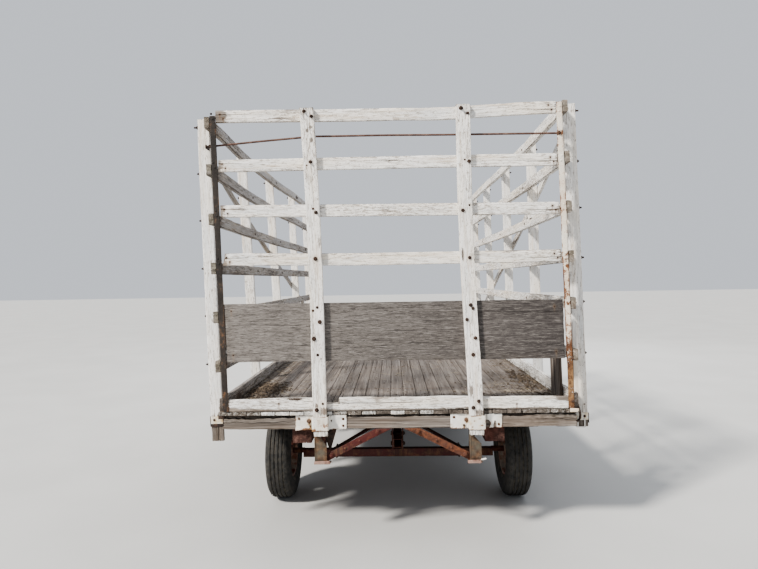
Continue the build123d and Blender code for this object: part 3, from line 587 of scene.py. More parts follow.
def steel(name, paint=None, paint_b=None, rust_amount=0.5, scale=1.0, dust=0.25, dusty=(0.33, 0.27, 0.20), rough_paint=0.45, edges=False,
          tone=((0.030, 0.016, 0.011), (0.092, 0.040, 0.022), (0.185, 0.080, 0.036), (0.30, 0.150, 0.072)), flecks=None, base=None):
    """Steel with old paint, rust blooms, runs and dust on what faces up. edges reads the wear and mark attributes."""
    n = Nodes(name)
    p = n.obj()
    ps = n.scale(p, (scale, scale, scale))
    big = n.noise(ps, 7.0, 4, 0.6)
    mid_ = n.noise(ps, 32.0, 5, 0.65)
    small = n.noise(ps, 190.0, 4, 0.7)
    tiny = n.noise(ps, 620.0, 2, 0.6)
    rust = n.ramp(n.m("ADD", n.m("MULTIPLY", mid_, 0.6), n.m("MULTIPLY", small, 0.4)), list(zip((0.36, 0.46, 0.56, 0.68), tone)))
    height = n.m("ADD", n.m("MULTIPLY", small, 0.5), n.m("MULTIPLY", tiny, 0.35))
    rough = 0.85
    col = rust
    if base is not None:
        col = n.mix(n.m("MULTIPLY", n.span(big, 0.40, 0.62), 0.8), rust, n.mix(n.span(small, 0.4, 0.6), base, tuple(x * 0.6 for x in base)))
    if paint is not None:
        pcol = n.mix(n.span(big, 0.35, 0.68), paint, paint_b or paint)
        pcol = n.mix(n.m("MULTIPLY", n.span(mid_, 0.60, 0.38), 0.30), pcol, tuple(x * 0.62 for x in paint))
        if flecks is not None:
            pcol = n.mix(n.m("MULTIPLY", n.span(small, 0.58, 0.66), 0.7), pcol, flecks)
        runs = n.noise(n.scale(ps, (60, 60, 5)), 1, 3, 0.6)
        c = n.m("ADD", n.m("MULTIPLY", big, 0.34), n.m("MULTIPLY", mid_, 0.38))
        c = n.m("ADD", c, n.m("MULTIPLY", small, 0.28))
        if edges:
            edge, endd, un = n.xyz(n.att("wear"))
            ru, ba, di = n.xyz(n.att("mark"))
            c = n.m("ADD", c, n.m("MULTIPLY", n.span(edge, 0.005, 0.0), 0.055))
            c = n.m("ADD", c, n.m("MULTIPLY", ru, 0.30))
            c = n.m("SUBTRACT", c, n.m("MULTIPLY", ba, 0.30))
        t0 = 0.66 - 0.30 * rust_amount
        mask = n.span(c, t0, t0 + 0.02)          # 1 where the paint has gone
        halo = n.m("MULTIPLY", n.span(c, t0 - 0.075, t0 + 0.01), n.span(runs, 0.36, 0.60))
        pcol = n.mix(n.m("MULTIPLY", halo, 0.60), pcol, (0.27, 0.135, 0.060))
        col = n.mix(mask, pcol, rust)
        if edges:
            yel = n.m("MULTIPLY", n.m("MAXIMUM", di, 0.0), n.span(mid_, 0.36, 0.58), clamp=True)
            col = n.mix(n.m("MULTIPLY", yel, 0.75), col, n.mix(mid_, (0.50, 0.33, 0.13), (0.62, 0.50, 0.28)))
        height = n.m("ADD", n.m("MULTIPLY", height, n.span(mask, 0, 1, 0.30, 1.0, smooth=False)), n.m("MULTIPLY", n.m("SUBTRACT", 1.0, mask), 0.8))
        rough = n.span(mask, 0.0, 1.0, rough_paint, 0.88, smooth=False)
    if dust:
        geo = n.new("ShaderNodeNewGeometry")
        nx, ny, nz = n.xyz(geo.outputs["Normal"])
        up = n.span(nz, -0.1, 0.9)
        dn = n.noise(ps, 14.0, 5, 0.65)
        d = n.m("MULTIPLY", n.span(dn, 0.36, 0.66), n.m("ADD", n.m("MULTIPLY", up, dust), dust * 0.55), clamp=True)
        col = n.mix(d, col, dusty)
        rough = n.m("MAXIMUM", rough, n.m("MULTIPLY", d, 0.95)) if isinstance(rough, bpy.types.NodeSocket) else rough
    return n.finish(col, rough, n.bump(height, 0.5, 0.0008), spec=0.4)


def rubber(name):
    """Aged tyre rubber. gco: round the tyre, section length, radius. mark: groove depth, dust, sidewall."""
    n = Nodes(name)
    g = n.att("gco")
    groove, dust_at, wall = n.xyz(n.att("mark"))
    o = n.obj()
    big = n.noise(o, 9.0, 4, 0.6)
    mid_ = n.noise(o, 60.0, 5, 0.65)
    fine = n.noise(o, 420.0, 3, 0.6)
    col = n.ramp(n.m("ADD", n.m("MULTIPLY", big, 0.5), n.m("MULTIPLY", mid_, 0.5)), [
        (0.34, (0.011, 0.012, 0.013)), (0.52, (0.024, 0.025, 0.026)), (0.68, (0.055, 0.055, 0.054))])
    # scuffed lines round the tread, and fine cracks of age round the sidewall
    scuff = n.noise(n.scale(g, (6, 260, 1)), 1, 4, 0.6)
    col = n.mix(n.m("MULTIPLY", n.span(scuff, 0.50, 0.70), 0.35), col, (0.115, 0.112, 0.106))
    cr = n.voronoi(n.scale(o, (80, 80, 80)), 1, "DISTANCE_TO_EDGE")
    ring = n.noise(n.scale(g, (14, 420, 1)), 1, 3, 0.6)
    cracks = n.m("MULTIPLY", n.span(cr, 0.050, 0.0), n.span(mid_, 0.46, 0.58))
    cracks = n.m("MAXIMUM", cracks, n.m("MULTIPLY", n.span(ring, 0.64, 0.69), wall))
    col = n.mix(n.m("MULTIPLY", cracks, 0.75), col, (0.008, 0.008, 0.008))
    dn = n.noise(o, 26.0, 5, 0.7)
    d = n.m("MULTIPLY", n.span(dn, 0.34, 0.62), n.m("ADD", 0.05, n.m("MULTIPLY", dust_at, 0.34)), clamp=True)
    col = n.mix(d, col, n.mix(n.span(fine, 0.4, 0.6), (0.22, 0.185, 0.145), (0.31, 0.27, 0.21)))
    h = n.m("SUBTRACT", n.m("ADD", n.m("MULTIPLY", mid_, 0.4), n.m("MULTIPLY", fine, 0.3)), cracks)
    return n.finish(col, n.span(big, 0.3, 0.7, 0.74, 0.88, smooth=False), n.bump(h, 0.4, 0.0008), spec=0.3)


def straw_mat(name, a, b):
    n = Nodes(name)
    o = n.obj()
    big = n.noise(o, 40.0, 3, 0.6)
    fine = n.noise(o, 900.0, 2, 0.6)
    col = n.mix(n.span(big, 0.35, 0.65), a, b)
    col = n.mix(n.m("MULTIPLY", n.span(fine, 0.5, 0.7), 0.3), col, tuple(x * 0.4 for x in a))
    return n.finish(col, 0.8, n.bump(fine, 0.3, 0.0004), spec=0.2)


def floor_mat():
    n = Nodes("studio_floor")
    o = n.obj()
    a = n.noise(o, 0.9, 4, 0.5)
    b = n.noise(o, 60.0, 3, 0.6)
    col = n.mix(n.span(a, 0.3, 0.7), (0.50, 0.50, 0.49), (0.53, 0.53, 0.52))
    return n.finish(col, 0.75, n.bump(b, 0.08, 0.0006), spec=0.2)


# ------------------------------------------------------------------ materials
WHITE = wood("white_wood", (0.100, 0.082, 0.068), (0.225, 0.195, 0.170), (0.40, 0.365, 0.330), (0.235, 0.150, 0.092), painted=True,
             paint_a=(0.875, 0.858, 0.828), paint_b=(0.845, 0.785, 0.690))
# a darker copy of the painted white wood for the left rack's inward faces: worn paint, darkened further as painted
# shade
WORN_SHADED = wood("worn_white_wood_painted_shade", (0.066, 0.055, 0.048), (0.150, 0.130, 0.116), (0.275, 0.250, 0.228), (0.17, 0.115, 0.080), painted=True,
            paint_a=(0.37, 0.355, 0.345), paint_b=(0.33, 0.30, 0.265), peel=0.0, brown_amount=0.6)
DECK = wood("deck_wood", (0.088, 0.074, 0.064), (0.172, 0.148, 0.130), (0.262, 0.234, 0.211), (0.185, 0.138, 0.104), brown_amount=0.35, painted=True, contrast=0.95)
GREY = wood("grey_wood", (0.052, 0.042, 0.036), (0.150, 0.127, 0.110), (0.305, 0.272, 0.245), (0.19, 0.130, 0.092), brown_amount=0.45, contrast=1.3)
BEAM = wood("beam_wood", (0.070, 0.057, 0.048), (0.200, 0.172, 0.150), (0.370, 0.335, 0.300), (0.22, 0.152, 0.106), brown_amount=0.45, contrast=1.05)
SILL = wood("sill_wood", (0.040, 0.020, 0.017), (0.085, 0.040, 0.032), (0.150, 0.085, 0.068), (0.13, 0.040, 0.028), brown_amount=0.7, contrast=1.2)
PANEL = wood("panel_wood", (0.033, 0.028, 0.027), (0.062, 0.054, 0.052), (0.100, 0.090, 0.086), (0.068, 0.053, 0.044), brown_amount=0.30,
             streaks=(0.330, 0.306, 0.284), contrast=1.0)
RUST = steel("rusty_steel", tone=((0.022, 0.013, 0.010), (0.062, 0.030, 0.020), (0.130, 0.062, 0.034), (0.24, 0.130, 0.070)))
DARK = steel("dark_steel", tone=((0.012, 0.010, 0.010), (0.030, 0.020, 0.017), (0.065, 0.036, 0.026), (0.13, 0.070, 0.045)), dust=0.12)
ROD = steel("rod_steel", tone=((0.045, 0.025, 0.021), (0.092, 0.052, 0.042), (0.150, 0.088, 0.070), (0.28, 0.19, 0.155)), dust=0.10)
ORANGE = steel("orange_steel", tone=((0.032, 0.015, 0.011), (0.078, 0.030, 0.018), (0.165, 0.060, 0.028), (0.33, 0.155, 0.070)), dust=0.08, dusty=(0.33, 0.23, 0.17),
               base=(0.115, 0.050, 0.036))
FOOT = steel("foot_steel", tone=((0.070, 0.036, 0.026), (0.185, 0.095, 0.070), (0.330, 0.200, 0.155), (0.52, 0.40, 0.33)), dust=0.25, dusty=(0.50, 0.42, 0.36),
             base=(0.36, 0.235, 0.190))
GUSSET = steel("gusset_steel", tone=((0.026, 0.015, 0.010), (0.080, 0.040, 0.022), (0.150, 0.086, 0.048), (0.27, 0.185, 0.11)), dust=0.26, dusty=(0.20, 0.185, 0.14),
               base=(0.088, 0.084, 0.068))
NAIL = steel("nail_steel", scale=2.0, dust=0.0, tone=((0.012, 0.009, 0.008), (0.028, 0.017, 0.013), (0.055, 0.030, 0.019), (0.11, 0.055, 0.030)))
PAINTED = steel("painted_steel", paint=(0.80, 0.785, 0.745), paint_b=(0.74, 0.69, 0.60), rust_amount=0.36, edges=True, dust=0.10, rough_paint=0.5)
CREAM = steel("cream_steel", paint=(0.80, 0.755, 0.665), paint_b=(0.76, 0.64, 0.52), rust_amount=0.37, edges=True, dust=0.0, rough_paint=0.5, flecks=(0.42, 0.24, 0.17))
# near-black rusty paint of the left corner stile, partly painted shade from the post beside it
BROWN_SHADED = steel("brown_steel", paint=(0.019, 0.015, 0.013), paint_b=(0.038, 0.031, 0.026), rust_amount=0.16, edges=True, dust=0.06, dusty=(0.080, 0.066, 0.056), rough_paint=0.80,
              flecks=(0.10, 0.084, 0.072), tone=((0.012, 0.008, 0.007), (0.035, 0.019, 0.014), (0.080, 0.038, 0.024), (0.16, 0.080, 0.046)))
# dark red paint, darkened further as painted shade for the steel under the bed
RED_SHADED = steel("red_steel", paint=(0.078, 0.012, 0.010), paint_b=(0.038, 0.009, 0.008), rust_amount=0.38, dust=0.22, rough_paint=0.6, dusty=(0.085, 0.062, 0.047),
            tone=((0.012, 0.008, 0.006), (0.030, 0.015, 0.011), (0.060, 0.028, 0.018), (0.115, 0.060, 0.035)))
WHEEL = steel("wheel_steel", paint=(0.200, 0.052, 0.038), paint_b=(0.125, 0.040, 0.030), rust_amount=0.46, dust=0.75, dusty=(0.36, 0.315, 0.265), rough_paint=0.6,
              tone=((0.035, 0.018, 0.012), (0.095, 0.042, 0.025), (0.190, 0.088, 0.045), (0.32, 0.17, 0.09)))
TYRE = rubber("tyre_rubber")
STRAW = straw_mat("straw", (0.30, 0.25, 0.18), (0.42, 0.36, 0.27))
CHAFF = straw_mat("chaff", (0.062, 0.046, 0.034), (0.150, 0.118, 0.088))


# ------------------------------------------------------------------ metal shapes
def rod(piece, pts, r, sides=10, caps=True, mark=(0, 0, 0), wear=0.02):
    """A round bar along points. r is a radius, or a radius for each point."""
    pts = [Vector(p) for p in pts]
    rad = list(r) if hasattr(r, "__len__") else [r] * len(pts)
    tang = [((pts[min(i + 1, len(pts) - 1)] - pts[max(i - 1, 0)]).normalized()) for i in range(len(pts))]
    x = tang[0].orthogonal().normalized()
    verts, along = [], 0.0
    for i, (p, t) in enumerate(zip(pts, tang)):
        if i:
            x = (tang[i - 1].rotation_difference(t) @ x).normalized()
        y = t.cross(x)
        verts += [p + (x * math.cos(2 * math.pi * k / sides) + y * math.sin(2 * math.pi * k / sides)) * rad[i] for k in range(sides)]
    faces = [(i * sides + k, i * sides + (k + 1) % sides, (i + 1) * sides + (k + 1) % sides, (i + 1) * sides + k) for i in range(len(pts) - 1) for k in range(sides)]
    if caps:
        for end, p, t, flip in ((0, pts[0], -tang[0], True), (len(pts) - 1, pts[-1], tang[-1], False)):
            base = len(verts)
            rr = rad[end]
            ring = [p + (verts[end * sides + k] - p) * 0.82 + t * rr * 0.18 for k in range(sides)]
            verts += ring + [p + t * rr * 0.22]
            for k in range(sides):
                a, b, c, d = end * sides + k, end * sides + (k + 1) % sides, base + (k + 1) % sides, base + k
                faces.append((a, d, c, b) if flip else (a, b, c, d))
                faces.append((base + k, base + sides, base + (k + 1) % sides) if flip else (base + k, base + (k + 1) % sides, base + sides))
    n = len(verts)
    piece.add([tuple(v) for v in verts], faces, wear=np.full((n, 3), wear), mark=np.tile(mark, (n, 1)))


def lathe(piece, origin, axis, profile, seg=24, loop=False, phase=0.0, mark=None, gco=None, wear=0.02, move=None):
    """Turned shape: profile of (along, radius) about an axis. A radius of 0 at an end closes it to a point.
    move(along, radius, step) changes the profile round the shape."""
    area = sum(p[0] * q[1] - q[0] * p[1] for p, q in zip(profile, list(profile[1:]) + [profile[0]]))
    o, z = Vector(origin), Vector(axis).normalized()
    x = z.orthogonal().normalized()
    y = z.cross(x)
    verts, index, marks, gs = [], [], [], []
    for j, (a, r) in enumerate(profile):
        if r <= 1e-6:
            index.append([len(verts)] * seg)
            verts.append(o + z * a)
            marks.append(mark[j] if mark is not None else (0, 0, 0))
            gs.append((0, 0, a))
        else:
            row = []
            for i in range(seg):
                q = phase + 2 * math.pi * i / seg
                row.append(len(verts))
                aa, rr = move(a, r, i) if move else (a, r)
                verts.append(o + z * aa + (x * math.cos(q) + y * math.sin(q)) * rr)
                marks.append(mark[j] if mark is not None else (0, 0, 0))
                gs.append((q * 0.35, gco[j] if gco is not None else a, r))
            index.append(row)
    faces = []
    rows = list(zip(index, index[1:])) + ([(index[-1], index[0])] if loop else [])
    for ra, rb in rows:
        for i in range(seg):
            k = (i + 1) % seg
            f = [ra[i], ra[k], rb[k], rb[i]]
            f = [v for q, v in enumerate(f) if v not in f[:q]]
            if len(f) > 2:
                faces.append(tuple(f[::-1] if area < 0 else f))
    piece.add([tuple(v) for v in verts], faces, gco=np.array(gs), wear=np.full((len(verts), 3), wear), mark=np.array(marks, float))


def bolt(piece, p, nrm, r=0.008, kind="hex", washer=True, stub=0.0, seed=0):
    """A fastener standing on a surface: hex head, nut with a threaded stub, or the dome of a carriage bolt."""
    p, nrm = Vector(p), Vector(nrm).normalized()
    w = 0.0
    if washer:
        lathe(piece, p, nrm, [(-0.1 * r, 0), (-0.1 * r, 2.15 * r), (0.16 * r, 2.15 * r), (0.24 * r, 2.05 * r), (0.24 * r, 0)], 12, phase=seed)
        w = 0.22 * r
    if kind == "dome":
        lathe(piece, p, nrm, [(-0.1 * r, 0), (-0.1 * r, 1.9 * r), (0.22 * r, 1.85 * r), (0.62 * r, 1.35 * r), (0.86 * r, 0.7 * r), (0.92 * r, 0)], 12, phase=seed)
        return
    lathe(piece, p, nrm, [(w - 0.05 * r, 0), (w - 0.05 * r, 1.62 * r), (w, 1.78 * r), (w + 1.05 * r, 1.78 * r), (w + 1.3 * r, 1.52 * r), (w + 1.34 * r, 0)], 6, phase=seed * 1.7)
    if stub:
        prof, a, k = [(w + r, 0), (w + r, r)], w + r, 0
        while a < w + 1.3 * r + stub:
            a += 0.0014
            prof.append((a, r * (0.86 if k % 2 else 1.0)))
            k += 1
        prof += [(a + 0.001, 0.75 * r), (a + 0.001, 0)]
        lathe(piece, p, nrm, prof, 8)


def weld(piece, a, b, r=0.0045, seed=0):
    """A bumpy weld bead from a to b."""
    a, b = Vector(a), Vector(b)
    n = max(4, int((b - a).length / 0.0028))
    side = (b - a).orthogonal().normalized()
    pts = [a.lerp(b, i / n) + side * (0.0010 * float(noise1(i * 0.31, seed + 3))) for i in range(n + 1)]
    rod(piece, pts, [r * (0.78 + 0.22 * abs(math.sin(i * 1.25))) * (1 + 0.12 * float(noise1(i * 0.2, seed))) for i in range(n + 1)], 7)


def plate(piece, poly, origin, U, V, N, t, r=0.0015, seg=2, mark=(0, 0, 0), wear=0.02, shape=None, cuts=0):
    """A flat plate with rounded edges, cut to a polygon of (u, v) points. shape moves its points."""
    bm = bmesh.new()
    face = bm.faces.new([bm.verts.new((a, b, 0)) for a, b in poly])
    new = bmesh.ops.extrude_face_region(bm, geom=[face])["geom"]
    bmesh.ops.translate(bm, vec=(0, 0, t), verts=[v for v in new if isinstance(v, bmesh.types.BMVert)])
    bmesh.ops.recalc_face_normals(bm, faces=bm.faces)
    if r:
        bmesh.ops.bevel(bm, geom=list(bm.edges), offset=r, segments=seg, profile=0.5, affect="EDGES", clamp_overlap=True)
    if cuts:
        lo = [min(v.co[k] for v in bm.verts) for k in (0, 1)]
        hi = [max(v.co[k] for v in bm.verts) for k in (0, 1)]
        for k in (0, 1):
            for i in range(1, cuts):
                co = [0, 0, 0]
                co[k] = lo[k] + (hi[k] - lo[k]) * i / cuts
                no = [0, 0, 0]
                no[k] = 1
                bmesh.ops.bisect_plane(bm, geom=list(bm.verts) + list(bm.edges) + list(bm.faces), plane_co=co, plane_no=no)
    bmesh.ops.triangulate(bm, faces=[f for f in bm.faces if len(f.verts) > 4])
    bm.verts.index_update()
    o, U, V, N = (np.asarray(q, float) for q in (origin, U, V, N))
    co = np.array([v.co[:] for v in bm.verts])
    if shape:
        co = shape(co)
    P = o + co[:, :1] * U + co[:, 1:2] * V + co[:, 2:] * N
    faces = [tuple(v.index for v in f.verts) for f in bm.faces]
    if np.dot(np.cross(U, V), N) < 0:
        faces = [f[::-1] for f in faces]
    bm.free()
    piece.add(P, faces, gco=co, wear=np.full((len(P), 3), wear), mark=np.tile(mark, (len(P), 1)))


def fillet(path, radius, seg=4):
    """Rounds the corners of a plan path."""
    path = [np.array(p, float) for p in path]
    out = [path[0]]
    for a, b, c in zip(path, path[1:], path[2:]):
        u, v = (a - b) / np.linalg.norm(a - b), (c - b) / np.linalg.norm(c - b)
        half = math.acos(max(-1, min(1, float(u @ v)))) / 2
        d = min(radius / math.tan(half), np.linalg.norm(a - b) * 0.45, np.linalg.norm(c - b) * 0.45)
        rr = d * math.tan(half)
        centre = b + (u + v) / np.linalg.norm(u + v) * (rr / math.sin(half))
        p0, p1 = b + u * d - centre, b + v * d - centre
        a0, a1 = math.atan2(p0[1], p0[0]), math.atan2(p1[1], p1[0])
        while a1 - a0 > math.pi:
            a1 -= 2 * math.pi
        while a1 - a0 < -math.pi:
            a1 += 2 * math.pi
        for i in range(seg + 1):
            q = a0 + (a1 - a0) * i / seg
            out.append(centre + rr * np.array((math.cos(q), math.sin(q))))
    out.append(path[-1])
    return out


def bent_sheet(piece, path, z0, z1, t, nz=14, step=0.008, radius=0.007, holes=(), move=None, mark_at=None):
    """Sheet metal that stands on a plan path, z0 to z1 high. holes: ellipses (x, z, rx, rz) rusted or cut through it.
    move(P, u, z) bends it, mark_at(P) gives the rust, bare and stain marks."""
    pts = fillet(path, radius)
    fine = [pts[0]]
    for a, b in zip(pts, pts[1:]):
        k = max(1, int(round(np.linalg.norm(b - a) / step)))
        fine += [a + (b - a) * i / k for i in range(1, k + 1)]
    fine = np.array(fine)
    u = np.concatenate([[0], np.cumsum(np.linalg.norm(np.diff(fine, axis=0), axis=1))])
    tan_ = np.gradient(fine, axis=0)
    tan_ /= np.linalg.norm(tan_, axis=1)[:, None]
    nor = np.stack([tan_[:, 1], -tan_[:, 0]], 1)
    zz = np.linspace(z0, z1, nz + 1)
    nu = len(fine)
    Xg = np.repeat(fine[:, 0][:, None], nz + 1, 1)
    Yg = np.repeat(fine[:, 1][:, None], nz + 1, 1)
    Zg = np.repeat(zz[None, :], nu, 0)
    keep = np.ones((nu - 1, nz), bool)
    for hx, hz, rx, rz in holes:
        e = ((Xg - hx) / rx) ** 2 + ((Zg - hz) / rz) ** 2
        inside = e < 1
        keep &= ~(inside[:-1, :-1] & inside[1:, :-1] & inside[1:, 1:] & inside[:-1, 1:])
        near = inside & (e > 1e-9)
        k = 1 / np.sqrt(np.where(near, e, 1))
        Xg = np.where(near, hx + (Xg - hx) * k, Xg)
        Zg = np.where(near, hz + (Zg - hz) * k, Zg)
    P = np.stack([Xg, Yg, Zg], -1)
    Ng = np.repeat(np.stack([nor[:, 0], nor[:, 1], 0 * nor[:, 0]], -1)[:, None, :], nz + 1, 1)
    if move:
        P = move(P, np.repeat(u[:, None], nz + 1, 1))
    idx = np.arange(nu * (nz + 1)).reshape(nu, nz + 1)
    cells = [(i, j) for i in range(nu - 1) for j in range(nz) if keep[i, j]]
    quads = [(idx[i, j], idx[i + 1, j], idx[i + 1, j + 1], idx[i, j + 1]) for i, j in cells]
    count, owner = {}, {}
    for q in quads:
        for a, b in zip(q, q[1:] + q[:1]):
            count[frozenset((a, b))] = count.get(frozenset((a, b)), 0) + 1
            owner[frozenset((a, b))] = (a, b)
    flat, N = P.reshape(-1, 3), Ng.reshape(-1, 3)
    edge_v = sorted({v for e, c in count.items() if c == 1 for v in e})
    used = sorted({v for q in quads for v in q})
    tot = len(flat)
    front, back = flat + N * t / 2, flat - N * t / 2
    # outward direction at the rim
    out = np.zeros_like(flat)
    for q in quads:
        c = flat[list(q)].mean(0)
        for v in q:
            out[v] += flat[v] - c
    out /= np.maximum(np.linalg.norm(out, axis=1), 1e-9)[:, None]
    rim = flat + out * t * 0.28
    shrink = flat - out * t * 0.10
    for v in edge_v:
        front[v] = shrink[v] + N[v] * t / 2
        back[v] = shrink[v] - N[v] * t / 2
    remap = {v: k for k, v in enumerate(used)}
    m = len(used)
    rmap = {v: 2 * m + k for k, v in enumerate(edge_v)}
    verts = np.concatenate([front[used], back[used], rim[edge_v]])
    faces = [tuple(remap[v] for v in q) for q in quads] + [tuple(m + remap[v] for v in q[::-1]) for q in quads]
    for e, c in count.items():
        if c == 1:
            a, b = owner[e]
            faces.append((remap[b], remap[a], rmap[a], rmap[b]))
            faces.append((rmap[b], rmap[a], m + remap[a], m + remap[b]))
    dist = np.full(tot, 0.03)
    ev = flat[edge_v]
    for v in used:
        dist[v] = min(0.03, float(np.sqrt(((ev - flat[v]) ** 2).sum(1).min())))
    wr = np.concatenate([dist[used], dist[used], np.zeros(len(edge_v))])
    mk = mark_at(verts) if mark_at else np.zeros((len(verts), 3))
    piece.add(verts, faces, wear=np.stack([wr, wr, 0 * wr], -1), mark=mk)


def worn_copy(piece, node, r=0.002, seg=2):
    """The CAD node's shape with its edges rounded."""
    bm = bmesh.new()
    bm.from_mesh(NODES[node].data)
    bmesh.ops.remove_doubles(bm, verts=bm.verts, dist=1e-5)
    bmesh.ops.dissolve_limit(bm, angle_limit=math.radians(0.6), verts=bm.verts, edges=bm.edges, delimit=set())
    bmesh.ops.recalc_face_normals(bm, faces=bm.faces)
    sharp = [e for e in bm.edges if len(e.link_faces) == 2 and e.calc_face_angle(0) > math.radians(38)]
    bmesh.ops.bevel(bm, geom=sharp, offset=r, segments=seg, profile=0.5, affect="EDGES", clamp_overlap=True)
    bmesh.ops.triangulate(bm, faces=[f for f in bm.faces if len(f.verts) > 4])
    bm.verts.index_update()
    co = np.array([v.co[:] for v in bm.verts])
    faces = [tuple(v.index for v in f.verts) for f in bm.faces]
    bm.free()
    piece.add(co, faces, wear=np.full((len(co), 3), 0.02))


# ------------------------------------------------------------------ wood of the rack and bed
X, Y, Z = np.eye(3)
LEANUP = np.array((-SN, 0, CS))         # up, with the rack's lean
LEANOUT = np.array((CS, 0, SN))         # across, with the rack's lean
POST_CY = [y + POST_T / 2 for y in POST_Y]


def splay(P, s):
    """The middle posts of each side have spread a little at the top, left more than right."""
    P = np.array(P, float)
    h = np.clip(P[..., 2] - FLOOR, 0, None)
    g = step01((P[..., 1] - POST_CY[0]) / (POST_CY[1] - POST_CY[0])) * step01((POST_CY[3] - P[..., 1]) / (POST_CY[3] - POST_CY[2]))
    P[..., 0] += (-0.0205 if s < 0 else 0.0095) * h * g
    return P


BOW = {-1: np.polyfit((-0.12, 0, 0.2, 0.45, 0.7, 0.85, 1.2, 1.67, 2.0), (0.0022, 0.003, 0.0054, 0.011, 0.0145, 0.0165, 0.018, 0.0135, 0.0054), 4),
       1: np.polyfit((-0.12, 0, 0.2, 0.45, 0.7, 0.9, 1.2, 1.67, 2.0), (-0.0016, -0.002, -0.0036, -0.0068, -0.0118, -0.0155, -0.018, -0.0095, -0.0027), 4)}


def bowed(P, s):
    """The uprights of the end rack bend toward the middle at half height."""
    P = np.array(P, float)
    P[..., 0] += np.polyval(BOW[s], P[..., 2] - FLOOR)
    return P


def side_at(x, y, h, k=0.0):
    """A point of the leaning side rack: h up the posts, k outward to +X."""
    return np.array((x, y, FLOOR)) + h * LEANUP + k * LEANOUT


